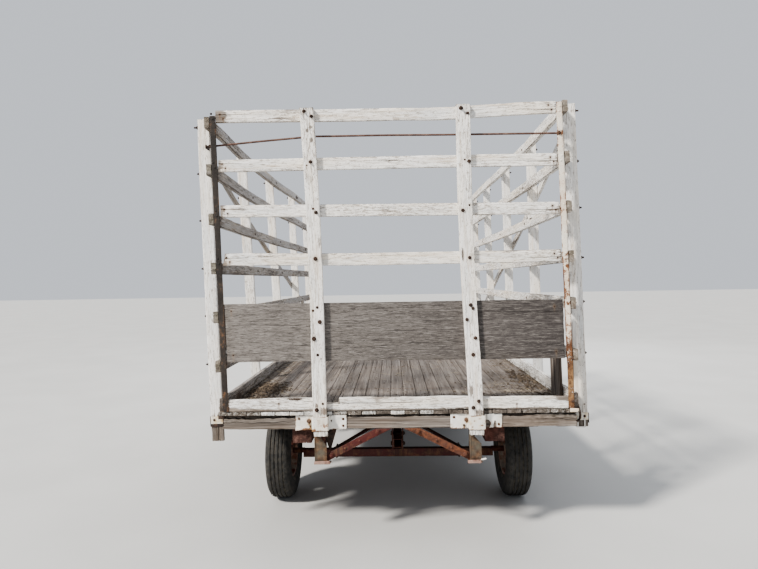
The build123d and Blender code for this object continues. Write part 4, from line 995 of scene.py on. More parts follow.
side_bolts = Piece("side_rack_bolts")
for s, tag in ((-1, "left"), (1, "right")):
    bend = (lambda side: (lambda P: splay(P, side)))(s)
    # posts
    posts = Piece("posts_" + tag)
    for i, y in enumerate(POST_Y):
        seed = 100 + 10 * s + i
        foot_h = -0.156 if s > 0 and i == 0 else POST_FOOT        # the right rear post has been cut shorter
        L = POST_TOP[s] - foot_h
        foot = (0.125 if s < 0 else 0.062) if i == 0 else 0.095
        bare = [(0.02, 0.0, foot, 0.3, 1.3), (0.0, 0.0, foot * 0.6, 0.3, 0.6)]
        cr = [((rnd(seed, 20) - 0.5) * 0.05, L - 0.10 - 0.12 * rnd(seed, 21), L, 0.008, 0),
              ((rnd(seed, 22) - 0.5) * 0.05, 0, 0.12 + 0.12 * rnd(seed, 23), 0.010, 0)]
        board(posts, side_at(s * (POST_IN + POST_W / 2), y + POST_T / 2, foot_h), LEANUP, LEANOUT, Y, L, POST_W, POST_T, seed,
              cracks=cr, bow=(0.004 * (rnd(seed, 30) - 0.5), 0.004 * (rnd(seed, 31) - 0.5)), paint=0.78 if s < 0 else 0.80, bare=bare, rough=0.006, step=0.03 if i == 0 else 0.05,
              dirt=[(0.06, 0, 0.10, 0.1, 0.5)], warp=bend, nails=[(0.232 - 0.075, 0.02, -1, 0.004), (0.232 - 0.078, -0.022, -1, 0.004)] if i == 0 else ())
    put(posts, WHITE, replaces=["side_posts_" + tag])
    # rails: grey-brown and nearly bare on the left, better kept on the right; the left rails' darker paint and wood is
    # partly worn and partly painted shade
    rails = Piece("rails_" + tag)
    for k, h in enumerate(RAILS[s]):
        seed = 200 + 20 * s + k
        L = FLOOR_LEN - 0.020
        cr = [((rnd(seed, 20) - 0.5) * 0.05, 0, 0.05 + 0.1 * rnd(seed, 21), 0.009, 0),
              ((rnd(seed, 22) - 0.5) * 0.05, L - 0.2 * rnd(seed, 23) - 0.1, L, 0.010, 0)]
        lichen = [(0.03, 0.01, 0.06, 0.06, -0.75 if s < 0 else -0.45)]
        board(rails, np.array((s * (POST_IN - 0.0003 - RAIL_T / 2) - h * TS, REAR, FLOOR + h)), Y, LEANUP, LEANOUT, L, RAIL_H, RAIL_T, seed,
              cracks=cr, bow=(-0.006 * rnd(seed, 30), 0.0), paint=(0.36 if s < 0 else 0.50) + 0.10 * (rnd(seed, 33) - 0.5), rough=0.009,
              bare=[(0.00, 0, 0.13, 0.2, 0.9)], step=(0.05, 0.4, 0.075), warp=bend, dirt=lichen, bites=0.8)
        for j, y in enumerate(POST_CY):
            d = 0.010 * (rnd(seed, 70 + j) - 0.5)
            e = 0.012 * (rnd(seed, 80 + j) - 0.5)
            inner = splay(side_at(s * (POST_IN - RAIL_T), y + d, h + e), s)
            outer = splay(side_at(s * (POST_IN + POST_W), y + d, h + e), s)
            bolt(side_bolts, inner - s * 0.0006 * LEANOUT, -s * LEANOUT, 0.0055, "dome", washer=False, seed=j)
            far = j == 0 and k in (5, 3, 2)
            bolt(side_bolts, outer, s * LEANOUT, 0.006, "hex", washer=True, stub=0.016 if (j == 0 and k == 5) else 0.010 if far or rnd(seed, 90 + j) > 0.5 else 0.004, seed=j)
    put(rails, WORN_SHADED if s < 0 else WHITE, replaces=["side_rails_" + tag])
    # toe board; the left one darker, partly worn paint and partly painted shade
    hgt = {-1: 0.086, 1: 0.098}[s]
    toe = Piece("toe_" + tag)
    board(toe, (s * (1.220 - 0.001 - 0.018), REAR + 0.040, FLOOR + hgt / 2), Y, Z, X, FLOOR_LEN - 0.060, hgt, 0.036, 300 + s,
          cracks=[(0.01, 0, 0.5, 0.01, 0), (-0.012, 1.5, 2.2, 0.006, 0)], paint=0.30 if s < 0 else 0.52,
          dirt=[(0.4, -0.04, 2.5, 0.03, 0.8), (3.2, -0.04, 2.5, 0.03, 0.8)], step=0.08, bites=1.3,
          nails=[(0.35 + 0.6 * q, 0.0, -s, 0.005) for q in range(8)])
    put(toe, WORN_SHADED if s < 0 else WHITE, replaces=["toe_board_" + tag])
    # diagonal brace on the outside of the posts; the left one darker, partly worn paint and partly painted shade
    h0, h1 = BRACES[s]
    h0 += {-1: 0.034, 1: 0.0}[s]
    wide = {-1: 0.058, 1: 0.072}[s]
    y0, y1 = POST_Y[0] + POST_T + 0.042, POST_Y[-1] + POST_T + 0.020
    run = np.array((0, y1 - y0, 0)) + (h1 - h0) * LEANUP
    L = float(np.linalg.norm(run))
    brace = Piece("brace_" + tag)
    nails = []
    for y in POST_Y[1:]:
        q = (y + POST_T / 2 - y0) / (y1 - y0)
        for j in (-1, 1):
            nails.append((q * L + 0.006 * j, 0.018 * j, s, 0.005))
    board(brace, side_at(s * (POST_IN + POST_W + 0.0005 + 0.012), y0, h0), run / L, LEANUP, LEANOUT, L, wide, 0.024, 320 + s,
          cracks=[(0.012, 0, 0.4, 0.008, 0), (-0.015, 2.0, 2.6, 0.005, s)], nails=nails, paint=0.60 if s < 0 else 0.46, step=0.08, saw=(0.0, 0.0), r=0.0025, warp=bend)
    put(brace, WORN_SHADED if s < 0 else WHITE, replaces=["side_brace_" + tag])

put(side_bolts, NAIL, angle=40)

# a short grey plank nailed inside the right rack
patch = Piece("patch_plank")
board(patch, side_at(POST_IN - RAIL_T - 0.0255 + 0.011, REAR + 0.381, 0.006), LEANUP, Y, LEANOUT, 0.614, 0.238, 0.022, 340,
      across=11, cracks=[(0.03, 0.3, 0.614, 0.008, 0), (-0.05, 0, 0.2, 0.008, 0)], nails=[(0.35, -0.08, -1, 0.005), (0.352, 0.07, -1, 0.005), (0.56, 0.0, -1, 0.005)], r=0.0025,
      saw=(0.0, 0.03))
put(patch, GREY, replaces=["side_patch_plank"])

# uprights of the end rack. a is measured to +X; the low V face looks back.
# columns: height above the floor, offset across, radius, how far it stands out
UP_NAILS = {
    -1: ((2.009, -0.010, 0.0082, 0.014), (1.974, 0.037, 0.0082, 0.012), (1.671, 0.017, 0.0082, 0.010), (1.650, -0.008, 0.0044, 0.002), (1.360, 0.020, 0.0063, 0.003),
         (1.335, 0.039, 0.0082, 0.014), (1.027, 0.021, 0.0095, 0.007), (0.702, 0.018, 0.0076, 0.003), (0.681, -0.011, 0.0069, 0.003), (0.605, 0.031, 0.0095, 0.007),
         (0.493, -0.013, 0.0101, 0.007), (0.385, 0.007, 0.0082, 0.003), (0.358, 0.028, 0.0038, 0.001), (0.058, 0.026, 0.0069, 0.003), (0.016, -0.016, 0.0095, 0.014)),
    1: ((2.006, -0.017, 0.0095, 0.014), (1.972, 0.026, 0.0069, 0.004), (1.666, -0.007, 0.0050, 0.002), (1.654, 0.021, 0.0088, 0.010), (1.331, -0.033, 0.0082, 0.005),
        (1.365, 0.011, 0.0057, 0.002), (1.017, -0.002, 0.0082, 0.005), (0.703, -0.009, 0.0088, 0.006), (0.681, 0.005, 0.0076, 0.004), (0.607, -0.038, 0.0082, 0.005),
        (0.484, 0.013, 0.0082, 0.005), (0.373, -0.007, 0.0088, 0.005), (0.064, 0.016, 0.0082, 0.012), (0.021, -0.021, 0.0088, 0.012))}
STAINED = {-1: (1.027, 0.605, 0.493), 1: (0.373, 1.331)}      # where rust has spread round the head
ups = Piece("uprights")
proud = Piece("upright_bolts")
for s in (-1, 1):
    seed = 360 + s
    L = UP_TOP - UP_FOOT
    nails = [(h - UP_FOOT, a - float(np.polyval(BOW[s], h)), -1, 0.0090 if h in STAINED[s] else 0.0045) for h, a, r, out in UP_NAILS[s]]
    bend = (lambda side: (lambda P: bowed(P, side)))(s)
    board(ups, (s * UP_X - UP_FOOT * TS, REAR - 0.019, FLOOR + UP_FOOT), (-TS, 0, 1), X, Y, L, UP_W + (0.003 if s > 0 else 0), 0.038, seed, across=8, warp=bend,
          cracks=[(0.020 * s, L - 0.10, L, 0.012, 0), (-0.025, 0.62, 0.95, 0.004, -1), (0.012, 1.45, 1.75, 0.004, -1)],
          nails=nails, paint=0.72, rough=0.006, dirt=[(0.02, 0, 0.05, 0.08, 0.5), (L, 0, 0.02, 0.1, -0.4)], step=0.025, stain=0.55,
          bare=[(0.17, 0.03, 0.03, 0.03, 0.5), (2.066, 0.02, 0.010, 0.010, 0.8), (2.045, -0.002, 0.012, 0.008, 0.8), (1.98, 0.02, 0.016, 0.010, 0.7),
                (0.21, -0.02, 0.02, 0.02, 0.4), (1.3, 0.03, 0.05, 0.012, 0.4)] if s < 0 else
               [(0.15, 0.02, 0.03, 0.03, 0.5), (0.30, -0.03, 0.05, 0.015, 0.5), (1.2, -0.03, 0.06, 0.012, 0.4), (0.08, 0.02, 0.03, 0.02, 0.5)],
          bites=0.9, add_nails=False)
    for k, (h, a, r, out) in enumerate(UP_NAILS[s]):
        p = np.array((s * UP_X - h * TS + a, REAR - 0.0376, FLOOR + h))
        n = np.array((0.10 * (rnd(seed, 200 + k) - 0.5), -1.0, -0.25 * rnd(seed, 220 + k) if out > 0.008 else 0.0))
        if out > 0.008:         # a bolt that stands proud, its nut rusted
            bolt(proud, p, n, r * 0.72, "hex", washer=True, stub=out, seed=k)
        elif out > 0.0035:
            bolt(proud, p, n, r * 0.70, "hex", washer=True, stub=0, seed=k)
        else:
            bolt(proud, p, n, r * 0.66, "dome", washer=False, seed=k)
put(ups, WHITE, replaces=["end_uprights"])
put(proud, NAIL, angle=40)

# rails of the end rack: the top one sags right of the middle, the others hang a little askew
def rail_bend(k):
    def move(P):
        P = np.array(P, float)
        x = P[..., 0]
        if k == 3:
            P[..., 2] -= 0.0155 * np.exp(-((x - 0.36) / 0.36) ** 2) + 0.005 * np.exp(-((x + 0.30) / 0.45) ** 2)
        elif k == 2:
            P[..., 2] -= 0.0067
        elif k == 1:
            P[..., 2] += 0.0038 - 0.0081 * x
        else:
            P[..., 2] += 0.009 * step01((-x - 0.1) / 1.0)
        return P
    return move


erails = Piece("end_rack_rails")
for k, (h, half) in enumerate(END_RAILS):
    seed = 380 + k
    L = 2 * half
    nails = []
    for xs in (-1.10, 1.10):
        nails += [(half + xs - 0.01, 0.014, -1, 0.005), (half + xs + 0.012, -0.016, -1, 0.005)]
    cr = [(0.012, 0, 0.16 + 0.12 * rnd(seed, 4), 0.009, 0), (-0.010, L - 0.25, L, 0.009, 0), (0.018, 0.95, 1.25, 0.004, -1)]
    tip = (0.018, 0.0, 0.003, 0.002)[k]
    bare = ([(0.00, -0.01, 0.055, 0.06, 1.0), (0.045, 0.015, 0.03, 0.02, 0.5)] if k == 3 else [(0.00, 0.0, 0.03, 0.06, 0.4)]) + \
        [(L * rnd(seed, 60 + q), 0.035 * (2 * rnd(seed, 64 + q) - 1), 0.04 + 0.06 * rnd(seed, 68 + q), 0.008, 0.22) for q in range(5)]
    knots = [(0.420, 0.012, 0.012, 0.007, 1.0)] if k == 3 else []
    board(erails, (-h * TS - half, REAR + 0.01275, FLOOR + h), X, Z, Y, L, 0.084, 0.0245, seed, cracks=cr, nails=nails, warp=rail_bend(k),
          bow=((-0.004, -0.002, 0.002, -0.003)[k], 0.0), paint=(0.62, 0.61, 0.58, 0.62)[k], rough=0.006, bare=bare, step=0.033, bites=1.0,
          dirt=knots + ([(1.80, -0.01, 0.03, 0.02, -0.0)] if k == 0 else []), saw=(tip, 0.004), rise=(0.0, 0.0, 0.0, 0.013)[k])
put(erails, WHITE, replaces=["end_rails"])

# plywood board
pan = Piece("plywood_panel")
board(pan, (-0.005 - 0.534 * TS - 1.140, REAR + 0.008, FLOOR + 0.534), X, (-TS, 0, 1), Y, 2.280, 0.398, 0.015, 400, across=22, r=0.0015,
      cracks=[(0.05, 0.2, 0.55, 0.003, -1), (-0.08, 1.2, 1.6, 0.003, -1), (0.12, 1.9, 2.28, 0.003, 0), (-0.15, 0, 0.25, 0.004, 0)], step=0.03, rough=0.004,
      nails=[(0.05, 0.15, -1, 0.0045), (0.05, -0.15, -1, 0.0045), (2.22, 0.15, -1, 0.0045), (2.22, -0.15, -1, 0.0045)], bites=1.2, stain=0.5,
      dirt=[(0.0, 0.0, 0.05, 0.3, 0.5), (1.9, -0.19, 1.2, 0.02, 0.5)])
put(pan, PANEL, replaces=["end_panel"])


# rail on the floor's end: its top has split off beside the left upright
def low_top(s):
    x = s - 0.002 - 1.150
    gap = step01((x + 0.524) / 0.006) * step01((-0.394 - x) / 0.004)
    return (0.034 + 0.0016 * noise1(s * 160, 8)) * gap + 0.0085 * step01((-0.80 - x) / 0.25) + 0.006 * step01((x - 0.35) / 0.30) \
        + 0.0015 * (1 + noise1(s * 9, 7)) + 0.004 * step01((noise1(s * 3.1, 9) - 0.5) / 0.3)


low = Piece("bottom_rail")
board(low, (-0.002 - 1.150, REAR + 0.0195, FLOOR + 0.0445), X, Z, Y, 2.300, 0.093, 0.038, 410, across=9, r=0.004,
      cracks=[(0.010, 0.700, 1.27, 0.022, -1), (0.026, 0.50, 0.672, 0.020, -1), (-0.026, 0.05, 0.30, 0.006, -1)],
      paint=0.675, dirt=[(x, -0.045, 0.26, 0.012, 0.50) for x in (0.1, 0.35, 0.6)] + [(1.62, -0.04, 0.06, 0.01, 0.8), (1.2, 0.03, 0.05, 0.01, 0.6)],
      step=0.018, bites=1.4, wear=1.8, rough=0.01, nails=[(0.35, 0.01, -1, 0.0045), (1.95, -0.01, -1, 0.0045)], ragged=low_top,
      bare=[(1.02, 0.035, 0.05, 0.012, 0.4), (2.26, 0.03, 0.05, 0.02, 0.6), (0.757, 0.02, 0.007, 0.020, 0.5), (0.700, 0.01, 0.05, 0.006, 0.35)]
      + [(0.05 + 0.16 * q, -0.046 + 0.006 * rnd(41, q), 0.10, (0.022 if q < 5 else 0.016) * (0.6 + 0.6 * rnd(42, q)), 0.42 if q < 6 else 0.34) for q in range(14)])
put(low, WHITE, replaces=["end_bottom_rail"])

# floor boards, their rear ends once painted with the end rack
deck = Piece("deck")
pitch = 2.440 / 25
for i in range(25):
    seed = 430 + i
    w = pitch - (0.0005 if i < 8 else 0.0012)
    back = 0.004 * rnd(seed, 3)
    L = FLOOR_LEN - 0.010 * rnd(seed, 1) - back
    cr = [((rnd(seed, 20) - 0.5) * 0.07, 0, 0.2 + 0.5 * rnd(seed, 21), 0.012, 0), ((rnd(seed, 22) - 0.5) * 0.07, 1.2 + rnd(seed, 23), 2.0 + rnd(seed, 24), 0.007, 1)]
    nails = []
    for y in (REAR + 0.047, REAR + 0.80, REAR + 1.97, REAR + 3.14, REAR + 4.31):
        for a in (-0.028, 0.028):
            nails.append((y - REAR - back + 0.014 / 3 * round(1.6 * (rnd(seed, int(a * 1000) + 77) - 0.5)), a, 1, 0.0045))
    ends = (0.70, 0.58, 0.66, 0.80, 1.05, 1.12, 1.12, 1.12)[i] if i < 8 else (0.78, 0.48, 0.64, 0.28)[i % 4] if i < 16 else 0.20 if i < 21 else 0.50
    board(deck, (-1.220 + pitch * (i + 0.5), REAR + back, FLOOR - 0.014 - 0.0012 * rnd(seed, 5)), Y, X, Z, L, w, 0.028 - 0.004 * rnd(seed, 6), seed, across=6, cracks=cr,
          nails=nails, cup=-0.0008, paint=-1.2, rough=0.009, step=(0.05, 1.2, 0.16), under=4, bites=2.6 if i < 8 else 1.8, r=0.0016 if i < 8 else 0.0022, stain=0.7, end_paint=ends + 0.15 * (rnd(seed, 9) - 0.5),
          dirt=[(4.4 * rnd(seed, 60), 0, 0.35, 0.06, 0.5), (0.12, 0, 0.20, 0.08, 0.6), (0, 0.01, 0.02, 0.08, 0.12 if i < 9 else 0.35)] + ([(2.4, 0, 3.0, 0.1, 0.7)] if i in (0, 1, 23, 24) else []))
put(deck, DECK, replaces=["floor_boards"])


# end beams, joists and sills
def rotten(seed, amount, start=0.0):
    return lambda s: (amount * (0.45 + 0.55 * step01(0.5 + 0.7 * noise1(s * 5.0, seed))) + 0.0045 * noise1(s * 38, seed + 1) + 0.0025 * noise1(s * 110, seed + 2)
                      + start * step01((0.52 - s) / 0.10) * (1 + 0.35 * noise1(s * 16, seed + 3)))


beam = Piece("rear_beam")
board(beam, (0.005 - 1.200, REAR + 0.047, (JOIST_TOP + JOIST_BOT) / 2), X, Z, Y, 2.400, 0.100, 0.050, 470, across=11, r=0.005, wear=2.0, bites=2.4,
      cracks=[(0.012, 0.0, 0.5, 0.012, -1), (-0.012, 0.75, 1.25, 0.008, -1), (-0.030, 1.5, 2.0, 0.010, -1), (0.008, 2.1, 2.40, 0.014, -1)],
      step=0.014, rough=0.015, ragged=rotten(71, 0.018, 0.011), dirt=[(0.12, 0.03, 0.12, 0.03, 0.8), (2.28, 0.03, 0.14, 0.03, 0.8), (2.14, 0.0, 0.24, 0.09, 0.42), (0.20, 0.0, 0.25, 0.09, 0.16)])
put(beam, BEAM, replaces=["rear_end_beam"])
beam = Piece("front_beam")
board(beam, (-1.214, FRONT - 0.033, (JOIST_TOP + JOIST_BOT) / 2), X, Z, Y, 2.428, 0.100, 0.050, 471, across=7, r=0.004, wear=1.5,
      cracks=[(0.02, 0.0, 0.5, 0.012, 1), (-0.02, 1.6, 2.2, 0.010, 1)], step=0.025, rough=0.01, ragged=rotten(72, 0.010))
put(beam, GREY, replaces=["front_end_beam"])
joists = Piece("joists")
joist_y = [y + POST_T + 0.025 for y in POST_Y[:-1]] + [y + POST_T + 0.025 + 0.585 for y in POST_Y[:-1]] + [POST_Y[-1] - 0.025]
for i, y in enumerate(joist_y):
    board(joists, (-1.270, y, (JOIST_TOP + JOIST_BOT) / 2), X, Z, Y, 2.540, 0.100, 0.050, 480 + i, across=5, r=0.003, step=0.12, rough=0.008,
          cracks=[(0.02, 0.0, 0.3, 0.01, 0), (-0.02, 2.2, 2.54, 0.01, 0)])
put(joists, GREY, replaces=["cross_joists"])
sills = Piece("sills")
for s in (-1, 1):
    board(sills, (s * 0.6575, REAR + 0.060, JOIST_BOT - 0.052), Y, X, Z, FLOOR_LEN - 0.120, 0.135, 0.104, 500 + s, across=6, r=0.004, step=0.12, rough=0.008,
          cracks=[(0.03, 0.0, 0.6, 0.014, -1), (-0.03, 3.9, 4.76, 0.012, -1)])
put(sills, SILL, replaces=["main_sills"])

nail_heads("nails", NAILS, NAIL)

# ------------------------------------------------------------------ steel of the end rack
# corner stiles of angle: one leg across the back, one leg forward along the inside; the left one near black, partly
# rust and partly painted shade
for s, tag, top, material in ((-1, "left", 2.001, BROWN_SHADED), (1, "right", 2.043, CREAM)):
    leg, t, L = 0.040, 0.005, top
    stile = Piece("stile_" + tag)
    seed = 520 + s
    lean_dir = np.array((-TS, 0, 1))

    def marks(P, s=s):
        h = P[:, 2] - FLOOR
        m = np.zeros((len(P), 3))
        if s > 0:
            x = P[:, 0] + h * TS
            m[:, 0] = 0.85 * np.exp(-((h - 0.235) / 0.105) ** 2) + 0.35 * np.exp(-((h - 0.42) / 0.04) ** 2) + 0.35 * np.exp(-((h - 0.06) / 0.06) ** 2)
            m[:, 0] += 0.13 * step01((x - 1.174) / 0.005) + 0.10 * step01((1.148 - x) / 0.004)
            m[:, 0] += 0.45 * np.exp(-((h - 0.85) / 0.06) ** 2) * step01((1.150 - x) / 0.006)
            m[:, 0] += 0.35 * np.exp(-((h - 1.84) / 0.02) ** 2)
            for hh, xx in ((1.03, 1.172), (0.99, 1.166), (0.955, 1.17), (0.70, 1.165)):
                m[:, 0] += 0.5 * np.exp(-((h - hh) ** 2 + (x - xx) ** 2) / 0.010 ** 2)
            m[:, 1] = 0.12 * step01((h - 0.9) / 0.5) + 0.2 * np.exp(-((h - 0.14) / 0.06) ** 2)
            m[:, 2] = 0.35 * np.exp(-((h - 0.16) / 0.15) ** 2)
        else:
            m[:, 0] = 0.15 * np.exp(-((h - 0.0) / 0.15) ** 2)
        return m

    path = [(s * (1.183 - leg), REAR - t / 2), (s * (1.183 - t / 2), REAR - t / 2), (s * (1.183 - t / 2), REAR + 0.040)]
    # the rear leg lies against the rack, so the sheet is set by its middle plane
    edge = Piece("tmp")

    def lean_sheet(P, u, s=s, seed=seed):
        h = P[..., 2] - FLOOR
        P = P.copy()
        P[..., 0] -= h * TS
        P[..., 0] += 0.0012 * noise1(h * 4, seed)
        return P

    bent_sheet(stile, path, FLOOR + 0.004, FLOOR + top, t, nz=150, step=0.006, radius=0.006, move=lean_sheet, mark_at=marks)
    if s > 0:       # the foot of the right stile is bent out over the floor's end
        plate(stile, [(0, 0), (0.052, 0), (0.058, 0.012), (0.055, 0.024), (0, 0.026)], (1.150, REAR - 0.006, FLOOR - 0.022), X, Z, Y, 0.006, r=0.0018, mark=(0, 0.3, 0.2))
    put(stile, material, replaces=["end_stile_" + tag], angle=40)

# nuts on the right stile
fix = Piece("stile_fasteners")
for h, x, r in ((1.838, 1.151, 0.0066), (0.338, 1.176, 0.0055), (0.055, 1.168, 0.0065)):
    bolt(fix, (x - h * TS, REAR - 0.0052, FLOOR + h), (0, -1, 0), r, "hex", washer=h > 1, stub=0.006, seed=int(h * 10))
put(fix, RUST, angle=40)
for s in (-1, 1):
    fix = Piece("stile_rivets_" + ("left" if s < 0 else "right"))
    for k, (h, half) in enumerate(END_RAILS):
        for j in (-1, 1):
            hh = h + j * 0.017
            bolt(fix, (s * (1.163 + 0.004 * j) - hh * TS, REAR - 0.0050, FLOOR + hh), (0, -1, 0), 0.0042, "dome", washer=False, seed=k)
    put(fix, BROWN_SHADED if s < 0 else CREAM, angle=40)

# the long tie rod with its bent hook at the left post and its nut at the right stile
tie = Piece("tie_rod_top")
a, b, c = ((-1.2315, REAR + 0.062, 1.808), (-0.496, REAR + 0.062, 1.866), (1.185, REAR + 0.062, 1.851))
at = lambda p: Vector((p[0] - p[2] * TS, p[1], FLOOR + p[2]))
pts = []
for p, q in ((a, b), (b, c)):
    for i in range(40):
        f = i / 40
        m = [p[k] + (q[k] - p[k]) * f for k in range(3)]
        m[2] += 0.0016 * float(noise1(m[0] * 2.2, 901))
        m[1] += 0.0020 * float(noise1(m[0] * 1.7, 902))
        pts.append(at(m))
pts.append(at(c))
rod(tie, pts, 0.0068, 12)
left_end = pts[0] + Vector((0.028, 0, 0))
# thread, nut and washer at the left end, and a flat hook to the post
lathe(tie, pts[0] + Vector((-0.004, 0, 0)), (1, 0, 0.06), [(k * 0.0011, 0.0076 if k % 2 else 0.0067) for k in range(52)], 12)
put(tie, ROD, replaces=["cross_tie_rod"], angle=40)
hook = Piece("tie_rod_hook")
yb = REAR + 0.050
plate(hook, [(-0.026, 0.000), (-0.010, -0.006), (0.000, -0.013), (0.012, -0.007), (0.024, -0.005), (0.024, 0.005), (0.012, 0.008), (0.000, 0.014), (-0.010, 0.007)],
      (left_end.x + 0.000, yb - 0.004, left_end.z), X, Z, Y, 0.006, r=0.0015)
plate(hook, [(0, -0.013), (0.074, -0.013), (0.074, 0.013), (0, 0.013)], (left_end.x - 0.030, yb - 0.003, left_end.z), Y, Z, X, 0.007, r=0.0015)
bolt(hook, (left_end.x + 0.010, REAR + 0.062, left_end.z + 0.002), (1, 0, 0.05), 0.0062, "hex", washer=True)
right_end = pts[-1]
plate(hook, [(0.0, -0.014), (0.034, -0.014), (0.034, 0.014), (0, 0.014)], (right_end.x - 0.006, REAR + 0.0405, right_end.z), Y, Z, X, 0.007, r=0.0015)
bolt(hook, (right_end.x - 0.012, REAR + 0.062, right_end.z), (-1, 0, 0), 0.0085, "hex", washer=True)
put(hook, NAIL, angle=40)

# pockets of bent plate that hold the feet of the uprights
pockets = Piece("pockets")
pocket_bolts = Piece("pocket_bolts")
for s in (-1, 1):
    xc, yb, inner, t, depth = s * 0.524 + 0.004, REAR + 0.022, 0.051, 0.005, 0.061
    h = t / 2
    path = [(xc - 0.172, yb - h), (xc - inner - h, yb - h), (xc - inner - h, yb - depth - h), (xc + inner + h, yb - depth - h), (xc + inner + h, yb - h), (xc + 0.172, yb - h)]
    z0, z1 = FLOOR - 0.126, FLOOR - 0.032

    def bend_edges(P, u, s=s, xc=xc, z0=z0):
        P = P.copy()
        x, z = P[..., 0], P[..., 2]
        left = step01((xc - 0.060 - x) / 0.01)
        right = step01((x - xc - 0.060) / 0.01)
        lip = z0 + (0.030 - 0.22 * (x - (xc - 0.172)) if s < 0 else 0.010 + 0.0 * x)      # a crease that runs down to the right
        k = step01((lip - z) / 0.006) * np.clip((lip - z) / 0.02, 0, 1.4)
        P[..., 1] -= left * k * 0.010
        P[..., 2] -= left * np.clip(k, 0, 1) * 0.003
        P[..., 1] += 0.0022 * noise2(x * 22, z * 22, 55 + s) * (left + right)
        P[..., 1] -= right * 0.0045 * step01((z - z0 - 0.06) / 0.03)
        P[..., 2] += 0.0018 * noise1(x * 26, 61 + s) * np.where(z > z0 + 0.05, 1, -1)
        if s > 0:       # the peeled right flange
            P[..., 1] -= right * 0.012 * np.exp(-((x - xc - 0.080) / 0.016) ** 2)
        return P

    def pocket_marks(P, s=s, xc=xc, z0=z0):
        x, z = P[:, 0], P[:, 2]
        m = np.zeros((len(P), 3))
        bolts = ((-0.602, 0.845), (-0.593, 0.812)) if s < 0 else ((0.461, 0.844), (0.445, 0.808))
        for bx, bz in bolts:
            m[:, 2] += 0.9 * np.exp(-(((x - bx) / 0.020) ** 2 + ((z - bz + 0.004) / 0.024) ** 2))
            m[:, 0] += 0.45 * np.exp(-(((x - bx) / 0.008) ** 2 + ((z - bz + 0.012) / 0.020) ** 2))
        if s < 0:
            m[:, 0] += 0.5 * np.exp(-(((x - xc + 0.075) / 0.05) ** 2 + ((z - z0) / 0.010) ** 2))
            m[:, 0] += 0.22 * np.exp(-((z - z0 - 0.002) / 0.005) ** 2)
        else:
            m[:, 2] += 0.30 * np.exp(-(((x - xc) / 0.045) ** 2)) * (P[:, 1] < REAR - 0.02)
            for bx, bz, br in ((-0.020, 0.060, 0.010), (0.012, 0.074, 0.008), (0.030, 0.030, 0.009), (-0.034, 0.020, 0.011)):
                m[:, 0] += 0.45 * np.exp(-(((x - xc - bx) / br) ** 2 + ((z - z0 - bz) / (br * 0.7)) ** 2)) * (P[:, 1] < REAR - 0.02)
            m[:, 0] += 0.55 * np.exp(-(((x - xc + 0.02) / 0.03) ** 2 + ((z - z0 - 0.094) / 0.008) ** 2)) + 0.3 * np.exp(-((z - z0) / 0.006) ** 2)
            m[:, 0] += 0.5 * np.exp(-(((x - xc - 0.085) / 0.02) ** 2 + ((z - z0 - 0.03) / 0.02) ** 2))
        m[:, 1] = 0.10
        return m

    cut = [] if s < 0 else [(0.602, 0.818, 0.018, 0.028), (0.654, 0.795, 0.0115, 0.042)]
    if s < 0:
        cut = [(xc + 0.070, 0.846, 0.0060, 0.0085)]
    bent_sheet(pockets, path, z0, z1, t, nz=26, step=0.0045, radius=0.007, holes=cut, move=bend_edges, mark_at=pocket_marks)
    for bx, bz, r in (((-0.602, 0.845, 0.0105), (-0.593, 0.812, 0.0065)) if s < 0 else ((0.461, 0.844, 0.0100), (0.445, 0.808, 0.0070))):
        bolt(pocket_bolts, (bx, yb - t - 0.0012, bz), (0, -1, 0), r * 0.72, "hex", washer=r > 0.008, stub=0.005, seed=int(bz * 1000))
    for k, (dx, dz) in enumerate(((-0.150, 0.862), (0.150, 0.858), (0.150, 0.812))):
        if not (s > 0 and dx > 0 and dz > 0.84):
            bolt(pocket_bolts, (xc + dx, yb - t - 0.0010, dz), (0, -1, 0), 0.0048, "dome", washer=False, seed=k)
put(pockets, PAINTED, replaces=["upright_pockets"], angle=40)
put(pocket_bolts, RUST, angle=40)

